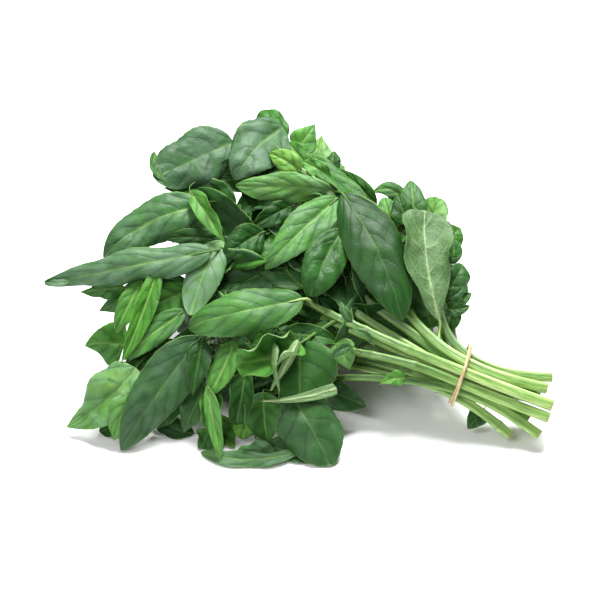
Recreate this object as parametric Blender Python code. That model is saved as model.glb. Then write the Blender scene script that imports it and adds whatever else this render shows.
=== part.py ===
"""Basil bunch: twelve cut, leafy basil stems held by a doubled rubber band, lying on a flat surface.

The bunch is drawn on a grid laid over its front view, seen from 35 degrees above the surface.
A place is a column and a row of that grid, and a depth behind the front of the heap of leaves.
Every leaf is lofted from its root in the stem, along its stalk, to the tip of its blade.
"""

import math
import random

import bmesh
import bpy
import numpy as np
from mathutils.bvhtree import BVHTree
from mathutils.geometry import convex_hull_2d

MM = 0.001

# Front view: one grid square is half a millimetre, and the eye is 1.2 m from the bunch.
SQUARE = 0.5
VIEW_RISE = math.radians(35)
VIEW_DISTANCE = 1200
GRID_MIDDLE = 300
GROUND_ROW = 400
FRAME_SHIFT = (1.9, -27.4, 0.0)

# Heap of leaves: how its front leans back with height, and how its sides turn away.
HEAP_FOOT_DEPTH = -36
HEAP_LEAN = 0.56
HEAP_CURVE = 0.0024
HEAP_MIDDLE_X = -10
HEAP_HALF_WIDTH = 125
HEAP_SIDE_TURN = 30
HEAP_CORE = np.array((-12, 34, 22))

# Stems
STEM_TIP_RADIUS = 1.1
STEM_SAMPLES = 46
STEM_STEP = 3
STEM_GAP = 0.5
STEM_LIFT = 0.4

# How the stems are nudged apart: turns, the share of an overlap that one turn takes away, and
# the turns in which the lines are smoothed too, by that share of the way to straight.
NUDGE_TURNS = 90
NUDGE_SHARE = 0.55
SMOOTH_TURNS = 75
SMOOTH_SHARE = 0.2

# Leaves
BLADE_THICKNESS = 0.8
BASE_POWER = 0.72
TIP_POWER = 0.98
WIDEST = 0.3105
ACROSS = 3
STALK_RADIUS = 0.95
CLEARANCE = 0.35
BLADE_STATIONS = (0.1, 0.28, 0.5, 0.72, 0.89, 1.0)
SMALL_STATIONS = (0.13, 0.42, 0.76, 1.0)
SMALL_WIDTH = 22
BLADE_SAMPLES = 40
SHARPEST_TURN = -0.1
FOLD_POWER = 1.3
TIP_HALF_WIDTH = 0.4

# Rubber band: one loop wound twice round the bundle.
BAND_THICKNESS = 1.3
BAND_SPREAD = 1.0
BAND_LIFT = 0.72
BAND_POINTS = 72
BAND_GAP = 0.35

TUBE_ROUNDNESS = 1
BOOLEAN_SOLVER = "MANIFOLD"

LEAF_GREEN = (0.045, 0.16, 0.03)
BAND_TAN = (0.62, 0.4, 0.24)

RIGHT = np.array((1.0, 0.0, 0.0))
UP = np.array((0.0, math.sin(VIEW_RISE), math.cos(VIEW_RISE)))
TOWARDS = np.array((0.0, -math.cos(VIEW_RISE), math.sin(VIEW_RISE)))
VIEW_CENTRE = np.array((0, 0, (GROUND_ROW - GRID_MIDDLE) * SQUARE / math.cos(VIEW_RISE)))
EYE = VIEW_CENTRE + TOWARDS * VIEW_DISTANCE


def unit(v):
    return v / np.linalg.norm(v)


def seen(column, row, depth):
    """The point that the front view shows at a grid place, at that depth along Y."""
    across = RIGHT * ((column - GRID_MIDDLE) * SQUARE)
    up = UP * ((GRID_MIDDLE - row) * SQUARE)
    ray = VIEW_CENTRE + across + up - EYE
    return EYE + ray * ((depth - EYE[1]) / ray[1])


def grid_place(point):
    """The column and row at which the front view shows a point."""
    ray = point - EYE
    ray = ray * (VIEW_DISTANCE / (ray @ -TOWARDS))
    on_sheet = EYE + ray - VIEW_CENTRE
    return GRID_MIDDLE + on_sheet @ RIGHT / SQUARE, GRID_MIDDLE - on_sheet @ UP / SQUARE


def heap_front(column, row):
    """Depth of the heap's front face behind a grid place."""
    across = (column - GRID_MIDDLE) * SQUARE
    height = (GROUND_ROW - row) * SQUARE
    depth = HEAP_FOOT_DEPTH + HEAP_LEAN * height + HEAP_CURVE * height * height
    side = min(0.98, abs(across - HEAP_MIDDLE_X) / HEAP_HALF_WIDTH)
    depth += HEAP_SIDE_TURN * (1 - math.sqrt(1 - side * side))
    return min(depth, (height - 0.8) / math.sin(VIEW_RISE))


def in_heap(column, row, inset):
    """A point that far behind the heap's front face."""
    point = seen(column, row, heap_front(column, row) + inset)
    point[2] = max(point[2], BLADE_THICKNESS / 2)
    return point


def curve_through(points, samples):
    """Evenly spaced points of a smooth curve through the given ones."""
    points = np.asarray(points, float)
    gaps = np.linalg.norm(np.diff(points, axis=0), axis=1)
    slopes = np.diff(points, axis=0) / gaps[:, None]
    inner = slopes[:-1] * gaps[1:, None] + slopes[1:] * gaps[:-1, None]
    inner /= (gaps[:-1] + gaps[1:])[:, None]
    tangents = np.vstack([2 * slopes[:1] - inner[:1], inner, 2 * slopes[-1:] - inner[-1:]])
    fine = []
    for i, gap in enumerate(gaps):
        t = np.linspace(0, 1, 25)[:, None]
        start, end = points[i], points[i + 1]
        leave, arrive = tangents[i] * gap, tangents[i + 1] * gap
        piece = start * (2 * t**3 - 3 * t**2 + 1) + end * (3 * t**2 - 2 * t**3)
        piece += leave * (t**3 - 2 * t**2 + t) + arrive * (t**3 - t**2)
        fine.append(piece if i == 0 else piece[1:])
    fine = np.vstack(fine)
    run = np.concatenate([[0], np.cumsum(np.linalg.norm(np.diff(fine, axis=0), axis=1))])
    wanted = np.linspace(0, run[-1], samples)
    return np.stack([np.interp(wanted, run, fine[:, k]) for k in range(3)], axis=1)


# Bundle: the band's middle, the middle of the cut ends, and the two directions across it.
BAND_CENTRE = seen(461, 376, -21)
CUT_CENTRE = seen(541, 404, -30)
BUNDLE_AXIS = unit(CUT_CENTRE - BAND_CENTRE)
BUNDLE_OUT = unit(TOWARDS - BUNDLE_AXIS * (TOWARDS @ BUNDLE_AXIS))
BUNDLE_UP = np.cross(BUNDLE_OUT, BUNDLE_AXIS)


def across_bundle(centre, up, out, along=0):
    return centre + BUNDLE_UP * up + BUNDLE_OUT * out + BUNDLE_AXIS * along


# Each stem: radius at the cut, its place in the cut ends (up, out, along), its place in
# the band (up, out), and its way through the heap as (column, row, depth).
STEMS = {
    "back_tall": (2.9, (8.3, 3, 0), (5.9, 2.6),
                  ((422, 335, -4), (388, 283, 20), (345, 203, 50), (300, 168, 66), (258, 141, 84))),
    "right_front": (2.6, (14.5, -1, 1), (9.0, -2.0),
                    ((440, 322, 5), (437, 290, 19), (428, 245, 37), (415, 218, 50))),
    "right_back": (2.6, (9.5, -8, -3), (5.9, -7.2),
                   ((450, 330, 14), (452, 300, 28), (450, 265, 44), (441, 226, 60))),
    "centre": (3.0, (0.9, 7, 5), (2.6, 7.0),
               ((400, 347, -17), (348, 322, -2), (305, 303, 12), (272, 284, 20),
                (250, 259, 27), (229, 243, 31))),
    "left_upper": (2.6, (2.6, 1, -4), (0.0, 2.6),
                   ((395, 338, -7), (330, 296, 16), (272, 258, 38), (234, 235, 48), (204, 208, 54))),
    "left_middle": (2.6, (-8.5, -2, -3), (-2.9, -2.4),
                    ((400, 360, -8), (345, 338, 6), (290, 318, 14), (240, 306, 16), (196, 300, 16))),
    "left_low": (2.6, (-20, 0, -9), (-9.2, -2.0),
                 ((405, 376, -14), (352, 362, -2), (300, 354, 5), (245, 352, 3), (200, 343, -2))),
    "front_low": (2.7, (-15, 4, 4), (-6.2, 2.6),
                  ((400, 379, -24), (370, 377, -22), (340, 377, -19), (306, 380, -15), (276, 392, -18))),
    "front_middle": (2.8, (-4.8, 7, 5.5), (-3.2, 7.0),
                     ((400, 360, -22), (370, 355, -18), (350, 350, -13), (315, 346, -6),
                      (288, 341, -3), (262, 337, 0))),
    "under": (2.6, (-7.5, -9, -6), (-5.9, -7.2),
              ((400, 364, 2), (350, 351, 20), (300, 342, 36), (252, 334, 46))),
    "back_low": (2.6, (1, -9, -4), (0.0, -7.4),
                 ((400, 330, 10), (352, 285, 38), (302, 248, 60), (256, 224, 72))),
    "back_right": (2.6, (5, -3, -2), (2.9, -2.4),
                   ((412, 318, 8), (402, 270, 30), (390, 226, 45))),
}


def stem_radius(stem, share):
    """Radius at a share of the stem's length, from its cut end."""
    return STEMS[stem][0] + (STEM_TIP_RADIUS - STEMS[stem][0]) * np.asarray(share) ** 1.6


def stem_lines():
    """The stems' centre lines, nudged apart until none is in another."""
    names = list(STEMS)
    lines = []
    for name in names:
        _, cut, band, way = STEMS[name]
        end = across_bundle(CUT_CENTRE, *cut)
        tied = across_bundle(BAND_CENTRE, *band)
        lines.append(curve_through([end, tied, *(seen(*place) for place in way)], STEM_SAMPLES))
    points = np.array(lines)
    radii = np.array([stem_radius(name, np.linspace(0, 1, STEM_SAMPLES)) for name in names])
    flat_radii = radii.ravel()
    owner = np.repeat(np.arange(len(names)), STEM_SAMPLES)
    least = flat_radii[:, None] + flat_radii[None, :] + STEM_GAP
    least[owner[:, None] == owner[None, :]] = 0
    for turn in range(NUDGE_TURNS):
        flat = points.reshape(-1, 3)
        apart = flat[:, None, :] - flat[None, :, :]
        distance = np.sqrt((apart**2).sum(axis=2)) + 1e-9
        short = np.clip(least - distance, 0, None)
        push = (apart / distance[:, :, None] * short[:, :, None]).sum(axis=1)
        count = np.maximum((short > 0).sum(axis=1), 1)[:, None]
        points = (flat + NUDGE_SHARE * push / count).reshape(points.shape)
        if turn < SMOOTH_TURNS:
            middle = (points[:, :-2] + points[:, 2:]) / 2
            points[:, 1:-1] += SMOOTH_SHARE * (middle - points[:, 1:-1])
        points[:, :, 2] = np.maximum(points[:, :, 2], radii + STEM_LIFT)
    return dict(zip(names, points))


def blade_width(share):
    """Half width of a basil blade, 1 at its widest, along its length."""
    share = np.asarray(share, float)
    return (share**BASE_POWER) * ((1 - share) ** TIP_POWER) / WIDEST


def along_line(line, index):
    """Points at fractional indices of a line."""
    return np.stack([np.interp(index, np.arange(len(line)), line[:, k]) for k in range(3)], axis=1)


def leaf_mesh(points, width, facing, fold, margin=0.0):
    """Vertices and faces of one leaf, from its root through the blade's base and middle to its tip."""
    small = width < SMALL_WIDTH
    stations = SMALL_STATIONS if small else BLADE_STATIONS
    root, base = points[0], points[1]
    stalk = [root] if small else [root, (root + base) / 2]
    line = curve_through(points[1:], BLADE_SAMPLES + 1)
    index = np.array(stations) * BLADE_SAMPLES
    blade = along_line(line, index)
    run = along_line(line, np.minimum(index + 1, BLADE_SAMPLES)) - along_line(line, index - 1)
    tangents = np.vstack([[unit(base - root)] * len(stalk), run / np.linalg.norm(run, axis=1)[:, None]])
    centres = np.vstack([stalk, blade])
    normals = np.zeros_like(centres)
    start = len(centres) // 2 + 1
    normals[start] = unit(facing - tangents[start] * (facing @ tangents[start]))
    for i in [*range(start + 1, len(centres)), *range(start - 1, -1, -1)]:
        last = normals[i - 1] if i > start else normals[i + 1]
        normals[i] = unit(last - tangents[i] * (last @ tangents[i]))
    sides = np.cross(tangents, normals)
    q = np.linspace(-1, 1, ACROSS)
    turn = math.pi * (1 - (np.arange(ACROSS) + 0.5) / ACROSS)
    rings = []
    for i in range(len(centres)):
        if i < len(stalk):
            radius = STALK_RADIUS + margin
            sideways = np.outer(np.cos(turn), sides[i])
            outwards = np.outer(np.sin(turn), normals[i])
            upper = centres[i] + radius * (sideways + outwards)
            lower = centres[i] + radius * (sideways - outwards)
        else:
            half = width / 2 * float(blade_width(stations[i - len(stalk)]))
            half = max(half, TIP_HALF_WIDTH) + margin
            lift = fold * np.abs(q) ** FOLD_POWER * half
            middle = centres[i] + np.outer(q * half, sides[i]) + np.outer(lift, normals[i])
            reach = BLADE_THICKNESS / 2 + margin
            sunk = middle[:, 2] < reach
            middle[:, 2] = np.maximum(middle[:, 2], BLADE_THICKNESS / 2)
            rise = np.where(sunk[:, None], np.sign(normals[i][2] or 1) * np.array((0, 0, 1.0)), normals[i])
            upper, lower = middle + rise * reach, middle - rise * reach
        rings.append(np.vstack([upper, lower[::-1]]))
    vertices = np.vstack(rings)
    if margin == 0:
        vertices[:, 2] = np.maximum(vertices[:, 2], 0)
    ring = 2 * ACROSS
    faces = [(4, 1, 0), (5, 4, 0), (3, 2, 1), (4, 3, 1)]
    for i in range(len(rings) - 1):
        near, far = i * ring, (i + 1) * ring
        for j in range(ACROSS - 1):
            for a, b in ((j, j + 1), (ring - 1 - j, ring - 2 - j)):
                upper_side = a < ACROSS
                first, second = (near + a, near + b, far + b), (near + a, far + b, far + a)
                faces += [first, second] if upper_side else [first[::-1], second[::-1]]
        for a, b in ((ACROSS - 1, ACROSS), (ring - 1, 0)):
            faces += [(near + a, near + b, far + b), (near + a, far + b, far + a)]
    last = (len(rings) - 1) * ring
    faces += [(last + a, last + b, last + c) for c, b, a in faces[:4]]
    return vertices, faces


# Leaves that make the front of the heap, front ones first: base, middle and tip as
# (column, row), width, how far behind the heap's front, roll in degrees, fold.
FRONT_LEAVES = {
    "centre_front": ((303, 299), (245, 311), (184, 326), 22, -4, 12, 0.18),
    "largest_dark": ((342, 193), (378, 252), (403, 322), 28, -2, -10, 0.12),
    "longest_left": ((212, 251), (127, 267), (45, 285), 17, -2, 10, 0.3),
    "long_lower_left": ((200, 338), (160, 390), (121, 452), 24, -1, -8, 0.16),
    "bottom_left": ((131, 374), (103, 406), (70, 428), 26, 0, 12, 0.22),
    "bottom_front": ((290, 394), (312, 430), (331, 467), 30, 0, -6, 0.14),
    "lower_dark": ((291, 341), (297, 371), (304, 402), 33, 0, 4, -0.1),
    "cupped_light": ((300, 343), (268, 357), (236, 364), 23, -1, -14, 0.4),
    "pale_underside": ((440, 322), (427, 265), (425, 212), 23, 0, 172, -0.22),
    "top_left_grey": ((229, 143), (190, 163), (151, 162), 25, 3, 8, 0.1),
    "round_top": ((281, 150), (253, 139), (225, 146), 21, 4, 0, 0.05),
    "upper_left": ((202, 206), (150, 222), (101, 258), 21, 2, 10, 0.12),
    "light_middle": ((338, 198), (302, 230), (265, 268), 19, 1, 6, 0.16),
    "veined_middle": ((343, 230), (324, 262), (311, 296), 20, 0, -4, 0.14),
    "grey_left": ((223, 241), (204, 275), (191, 316), 18, 0, 8, 0.12),
    "upper_middle": ((335, 190), (285, 187), (234, 188), 15, 3, 4, 0.14),
    "folded_strip": ((296, 154), (336, 181), (377, 226), 12, 2, -30, 0.7),
    "left_hanging": ((158, 267), (143, 312), (122, 361), 10, 0, -20, 0.45),
    "narrow_upper_left": ((190, 191), (206, 214), (224, 242), 8, 0, 10, 0.4),
    "left_slanting": ((186, 310), (156, 331), (122, 362), 13, 1, 8, 0.2),
    "centre_hanging": ((235, 340), (223, 368), (207, 397), 13, 0, 10, 0.2),
    "left_hanging_back": ((142, 280), (128, 306), (115, 334), 11, 3, 12, 0.25),
    "left_bright": ((124, 346), (103, 343), (82, 347), 18, 4, 0, 0.1),
    "left_small_upper": ((124, 287), (102, 290), (80, 292), 7, 3, 0, 0.3),
    "left_small_pale": ((136, 298), (117, 303), (98, 312), 9, 5, 0, 0.2),
    "grey_behind_left": ((190, 292), (163, 301), (138, 318), 17, 6, 0, 0.15),
    "olive_hanging": ((263, 392), (264, 418), (268, 443), 14, 5, 10, 0.25),
    "narrow_olive": ((245, 371), (241, 400), (235, 428), 8, 3, 0, 0.3),
    "pale_narrow": ((214, 390), (211, 412), (209, 433), 7, 3, 0, 0.3),
    "yellow_edged": ((218, 414), (225, 438), (235, 462), 11, 2, 0, 0.25),
    "narrow_dark": ((212, 426), (213, 445), (219, 463), 7, 5, 0, 0.2),
    "front_pale": ((276, 455), (254, 457), (232, 462), 10, 1, 0, 0.3),
    "front_thin": ((265, 447), (295, 456), (322, 467), 8, 5, 0, 0.2),
    "yellow_small": ((254, 416), (246, 428), (240, 441), 8, 3, 0, 0.2),
    "small_lower": ((215, 430), (206, 443), (198, 457), 9, 4, 0, 0.2),
    "shade_upper_left": ((236, 204), (200, 190), (164, 188), 15, 7, 0, 0.15),
    "shade_upper": ((250, 190), (222, 180), (192, 192), 14, 12, 0, 0.15),
    "shade_bottom_left": ((142, 398), (120, 420), (98, 437), 14, 5, 0, 0.15),
    "dark_round": ((263, 232), (243, 243), (222, 258), 16, 6, 0, 0.1),
    "dark_olive": ((338, 206), (318, 215), (298, 230), 14, 6, 0, 0.1),
    "dark_strip": ((292, 206), (272, 215), (252, 228), 9, 8, 0, 0.2),
    "dark_band": ((340, 194), (299, 180), (258, 164), 12, 8, 0, 0.2),
    "grey_shadow_left": ((180, 384), (167, 406), (152, 430), 14, 7, 0, 0.15),
    "grey_shadow_right": ((205, 384), (194, 408), (183, 434), 13, 6, 0, 0.15),
    "dark_inner": ((202, 341), (197, 368), (192, 396), 10, 4, 0, 0.2),
    "dark_long_inner": ((202, 348), (160, 353), (121, 358), 11, 8, 0, 0.2),
    "under_front": ((281, 333), (312, 335), (341, 342), 9, 2, 0, 0.35),
    "pale_piece": ((335, 344), (344, 356), (350, 371), 10, 3, 0, 0.2),
    "small_centre": ((322, 306), (300, 311), (278, 306), 9, 3, 0, 0.3),
    "floor_shadow": ((312, 388), (340, 396), (368, 408), 14, 10, 0, 0.1),
    "behind_round_top": ((284, 140), (272, 124), (254, 118), 15, 9, 0, 0.1),
    "top_point": ((297, 149), (307, 136), (316, 123), 12, 9, 0, 0.15),
    "top_pale": ((318, 178), (319, 156), (322, 134), 19, 12, 0, 0.15),
    "top_small_dark": ((332, 172), (333, 161), (334, 151), 7, 9, 0, 0.2),
    "top_middle_pale": ((300, 172), (286, 161), (267, 153), 11, 6, 0, 0.25),
    "right_thin": ((376, 206), (358, 186), (338, 168), 8, 6, 0, 0.3),
    "right_arc": ((403, 199), (388, 189), (370, 194), 8, 14, 0, 0.2),
    "right_cluster": ((391, 231), (387, 212), (383, 195), 11, 8, 0, 0.2),
    "right_point": ((416, 218), (413, 199), (411, 178), 13, 6, 0, 0.15),
    "right_point_small": ((406, 225), (402, 208), (397, 192), 10, 9, 0, 0.2),
    "right_backlit": ((426, 228), (434, 211), (441, 195), 15, 10, 0, 0.15),
    "right_round": ((445, 244), (453, 235), (461, 228), 11, 10, 0, 0.1),
    "right_dark_small": ((450, 264), (454, 251), (453, 239), 7, 8, 0, 0.2),
    "right_light": ((447, 292), (456, 278), (464, 263), 12, 6, 0, 0.2),
    "bud_upper": ((446, 301), (456, 294), (466, 287), 6, 4, 0, 0.3),
    "bud_side": ((447, 304), (459, 300), (472, 293), 6, 4, 0, 0.3),
    "bud_lower": ((447, 309), (459, 309), (471, 305), 6, 4, 0, 0.3),
    "right_hanging": ((450, 309), (449, 323), (446, 337), 9, 5, 0, 0.2),
    "right_dark_back": ((432, 328), (423, 301), (415, 276), 14, 8, 0, 0.15),
    "low_stem_leaf": ((405, 379), (392, 379), (379, 385), 6, -2, 0, 0.3),
    "under_bundle": ((482, 411), (475, 420), (467, 430), 8, 0, 0, 0.2),
}
FRONT_SHIFTS = (0, 1.5, -1.5, 3, 4.5, -3, 6, 8, 10, -5, 13, 16)
FRONT_ROLLS = (0, 14, -14, 28, -28)
NEAREST_STEMS = 4
ROOT_REACH = 4
BEND_COST = 14
LEAFY_FROM = 0.42

# Leaves under the heap, which it rests on: where the stalk meets the blade, the heading of
# the blade along the ground in degrees, its length and its width.
REST_LEAVES = {
    "rest_middle": ((6, 28, 8), 210, 34, 18),
    "rest_back_left": ((-46, 62, 9), 125, 36, 20),
    "rest_back_right": ((20, 66, 9), 80, 38, 20),
}
REST_TURNS = (0, 20, -20, 40, -40, 60, -60, 90, -90)
REST_SLIDES = (0, 8, -8, 14)

# Outline of the heap in the front view, which the inner leaves stay within.
OUTLINE = ((60, 284), (104, 252), (112, 232), (136, 202), (160, 184), (160, 160), (200, 144),
           (232, 128), (262, 120), (290, 122), (313, 134), (334, 160), (360, 186), (398, 196),
           (414, 190), (438, 204), (456, 234), (462, 268), (462, 300), (448, 330), (420, 340),
           (380, 336), (345, 350), (338, 392), (326, 410), (318, 452), (240, 456), (204, 446),
           (150, 438), (120, 430), (78, 420), (84, 400), (118, 372), (98, 346), (108, 322))
INNER_DEPTH = 8
HEAP_REACH = np.array((126, 90, 120))
HEAP_BACK_CENTRE = np.array((-14, 28, 0))

# Inner leaves grow in pairs from the stems by rule; widths are shares of the length.
INNER_SPACING = 11.5
INNER_TRIES = 14
INNER_LENGTHS = (50, 26)
INNER_STALKS = (7, 13)
TIP_LEAVES = 4
WIDTH_SHARES = (0.42, 0.54)
FOLDS = (0.05, 0.3)

# Skin leaves lie near the heap's skin, wherever there is room.
SKIN_DRAWS = 1000
SKIN_LEAVES = 84
SKIN_LENGTHS = (26, 46)
SKIN_DEPTHS = (1, 14)
SKIN_SWING = 55
SKIN_LEANS = (0, 25, -25, 50)
SKIN_REACH = 0.48
SEED = 11


def around(v, axis, degrees):
    """A vector turned round an axis."""
    turn = math.radians(degrees)
    axis = unit(axis)
    cross = np.cross(axis, v)
    return v * math.cos(turn) + cross * math.sin(turn) + axis * (axis @ v) * (1 - math.cos(turn))


def nearest_roots(lines, base, ahead):
    """The best stems for a leaf, each with the place from which a stalk meets the blade most evenly."""
    found = []
    for name, line in lines.items():
        reach = base - line
        distance = np.linalg.norm(reach, axis=1)
        near = int(np.argmin(distance))
        window = range(max(near - ROOT_REACH, 1), min(near + ROOT_REACH + 1, STEM_SAMPLES - 1))
        bend = {k: 1 - (reach[k] @ ahead) / distance[k] for k in window}
        root = min(window, key=lambda k: distance[k] + BEND_COST * bend[k])
        found.append((distance[root] + BEND_COST * bend[root], name, root))
    found.sort()
    return [(name, lines[name][root]) for _, name, root in found[:NEAREST_STEMS]]


def front_choices(lines, leaf):
    """Places for a leaf of the heap's front, best first."""
    base, middle, tip, width, inset, roll, fold = FRONT_LEAVES[leaf]
    for shift in FRONT_SHIFTS:
        blade = [in_heap(*base, inset + shift + 2), in_heap(*middle, inset + shift - 1),
                 in_heap(*tip, inset + shift)]
        for stem, root in nearest_roots(lines, blade[0], unit(blade[1] - blade[0])):
            for more in FRONT_ROLLS:
                facing = around(TOWARDS, blade[2] - blade[0], roll + more)
                yield stem, [root, *blade], width, facing, fold


def rest_choices(lines, leaf):
    """Places for a leaf that lies flat on the ground under the heap."""
    start, heading, length, width = REST_LEAVES[leaf]
    for slide in REST_SLIDES:
        for more in REST_TURNS:
            turn = math.radians(heading + more)
            ahead = np.array((math.cos(turn), math.sin(turn), 0))
            base = np.array(start) + ahead * slide
            floor = np.array((1, 1, 0)) * base + (0, 0, BLADE_THICKNESS / 2)
            blade = [base, floor + ahead * length * 0.55, floor + ahead * length]
            for stem, root in nearest_roots(lines, base, ahead):
                yield stem, [root, *blade], width, np.array((0, 0, 1.0)), 0


def inside_outline(column, row):
    """Whether a grid place is within the heap's outline."""
    inside = False
    for (ax, ay), (bx, by) in zip(OUTLINE, OUTLINE[1:] + OUTLINE[:1]):
        if (ay > row) != (by > row) and column < ax + (row - ay) * (bx - ax) / (by - ay):
            inside = not inside
    return inside


def fits_heap(point):
    """Whether a point of an inner leaf is in the heap, and behind its front leaves."""
    column, row = grid_place(point)
    within = ((point - HEAP_BACK_CENTRE) / HEAP_REACH) @ ((point - HEAP_BACK_CENTRE) / HEAP_REACH) < 1
    behind = point[1] > heap_front(column, row) + INNER_DEPTH
    return within and behind and inside_outline(column, row)


def skin_choices(lines, draw):
    """Places for a leaf near the heap's skin, pointing away from the band."""
    height, turn = draw.uniform(-0.1, 1), draw.uniform(0, 2 * math.pi)
    level = math.sqrt(1 - height * height)
    outward = np.array((math.cos(turn) * level, math.sin(turn) * level, height))
    long = draw.uniform(*SKIN_LENGTHS)
    deep = draw.uniform(*SKIN_DEPTHS)
    swing = draw.uniform(-SKIN_SWING, SKIN_SWING)
    droop = draw.uniform(0, 0.3)
    width = long * draw.uniform(*WIDTH_SHARES)
    fold = draw.uniform(*FOLDS)
    reach = 0
    while fits_heap(HEAP_CORE + outward * (reach + 2)) and HEAP_CORE[2] + outward[2] * reach > 1:
        reach += 2
    middle = HEAP_CORE + outward * (reach - deep)
    flow = middle - BAND_CENTRE
    flow = around(unit(flow - outward * (flow @ outward)), outward, swing)
    for lean in SKIN_LEANS:
        turned = around(flow, outward, lean)
        base = middle - turned * long * SKIN_REACH - outward * 3
        tip = middle + turned * long * SKIN_REACH - outward * 2 - np.array((0, 0, droop * long * 0.4))
        for point in (base, middle, tip):
            point[2] = max(point[2], BLADE_THICKNESS / 2)
        if all(fits_heap(point) for point in (base, middle, tip)):
            for stem, root in nearest_roots(lines, base, turned)[:2]:
                yield stem, [root, base, middle, tip], width, outward, fold


def inner_choices(line, share, angle, length, draw):
    """Places for a leaf that grows from a stem by rule, one for each try."""
    i = min(int(share * (STEM_SAMPLES - 1)), STEM_SAMPLES - 2)
    root = line[i]
    along = unit(line[i + 1] - line[i])
    side = unit(np.cross(along, (0, 0, 1.0)))
    over = np.cross(side, along)
    for _ in range(INNER_TRIES):
        turn = math.radians(angle + draw.uniform(-40, 40))
        lean = draw.uniform(0.2, 0.9)
        stalk = draw.uniform(*INNER_STALKS)
        long = length * draw.uniform(0.75, 1.1)
        droop = draw.uniform(-0.05, 0.5)
        out = unit(side * math.cos(turn) + over * math.sin(turn) + along * lean)
        base = root + out * stalk
        middle = base + out * long * 0.5 - np.array((0, 0, droop * long * 0.18))
        tip = base + out * long * 0.96 - np.array((0, 0, droop * long * 0.62))
        for point in (base, middle, tip):
            point[2] = max(point[2], BLADE_THICKNESS / 2)
        outward = unit(middle - HEAP_CORE) + np.array((0, 0, 0.5))
        facing = around(outward, out, draw.uniform(-25, 25))
        width = long * draw.uniform(*WIDTH_SHARES)
        fold = draw.uniform(*FOLDS)
        if all(fits_heap(point) for point in (base, middle, tip)):
            yield [root, base, middle, tip], width, facing, fold


def inner_leaves(lines):
    """Every leaf that a stem may bear by rule: the stem, and its places."""
    draw = random.Random(SEED)
    for name, line in lines.items():
        run = np.linalg.norm(np.diff(line, axis=0), axis=1).sum()
        pairs = int(run * (0.97 - LEAFY_FROM) / INNER_SPACING)
        for k in range(pairs):
            share = LEAFY_FROM + (0.97 - LEAFY_FROM) * (k + 0.5) / pairs
            length = INNER_LENGTHS[0] + (INNER_LENGTHS[1] - INNER_LENGTHS[0]) * (k / pairs) ** 1.5
            for side in (0, 180):
                angle = side + 90 * (k % 2)
                yield name, list(inner_choices(line, share, angle, length, draw))
        for k in range(TIP_LEAVES):
            yield name, list(inner_choices(line, 0.98, k * 360 / TIP_LEAVES, INNER_LENGTHS[1], draw))


def bends_back(points):
    """Whether a leaf's blade heads back along its stalk."""
    return unit(points[1] - points[0]) @ unit(points[2] - points[1]) < SHARPEST_TURN


def crosses_itself(vertices, faces):
    """Whether two faces of a leaf that don't touch at a corner cross each other."""
    tree = BVHTree.FromPolygons(vertices.tolist(), faces)
    return any(a < b and not set(faces[a]) & set(faces[b]) for a, b in tree.overlap(tree))


class Space:
    """What has been placed so far, for finding clear places."""

    def __init__(self):
        self.solids = []

    def add(self, node, vertices, faces):
        tree = BVHTree.FromPolygons(vertices.tolist(), faces)
        self.solids.append((node, vertices.min(axis=0), vertices.max(axis=0), tree))

    def touches(self, vertices, faces):
        """The nodes that a solid would touch."""
        low, high = vertices.min(axis=0), vertices.max(axis=0)
        tree = BVHTree.FromPolygons(vertices.tolist(), faces)
        met = []
        for node, other_low, other_high, other in self.solids:
            if (low < other_high).all() and (other_low < high).all() and tree.overlap(other):
                met.append(node)
        return met


def place_leaves(lines, space):
    """The leaves of each stem, each in its first clear place."""
    leaves = {name: [] for name in lines}

    def place(name, choices, own_allowed):
        for stem, points, width, facing, fold in choices:
            if bends_back(points):
                continue
            met = space.touches(*leaf_mesh(points, width, facing, fold, margin=CLEARANCE))
            strangers = [node for node in met if node != stem]
            own = sum(node == stem for node in met)
            if not strangers and own <= own_allowed:
                solid = leaf_mesh(points, width, facing, fold)
                if crosses_itself(*solid):
                    continue
                space.add(stem, *solid)
                leaves[stem].append(solid)
                return True
        return False

    for name in FRONT_LEAVES:
        if not (place(name, front_choices(lines, name), 1) or place(name, front_choices(lines, name), 3)):
            print("no room for", name)
    for name in REST_LEAVES:
        if not place(name, rest_choices(lines, name), 3):
            print("no room for", name)
    inner = 0
    for stem, places in inner_leaves(lines):
        inner += place("inner", [(stem, *choice) for choice in places], 2)
    draw = random.Random(SEED + 1)
    skin = 0
    for _ in range(SKIN_DRAWS):
        if skin < SKIN_LEAVES:
            skin += place("skin", skin_choices(lines, draw), 1)
    print("inner leaves", inner, "skin leaves", skin)
    return leaves


def new_material(name, colour, roughness):
    material = bpy.data.materials.new(name)
    material.use_nodes = True
    shader = material.node_tree.nodes["Principled BSDF"]
    shader.inputs["Base Color"].default_value = (*colour, 1)
    shader.inputs["Roughness"].default_value = roughness
    shader.inputs["Metallic"].default_value = 0
    return material


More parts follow.
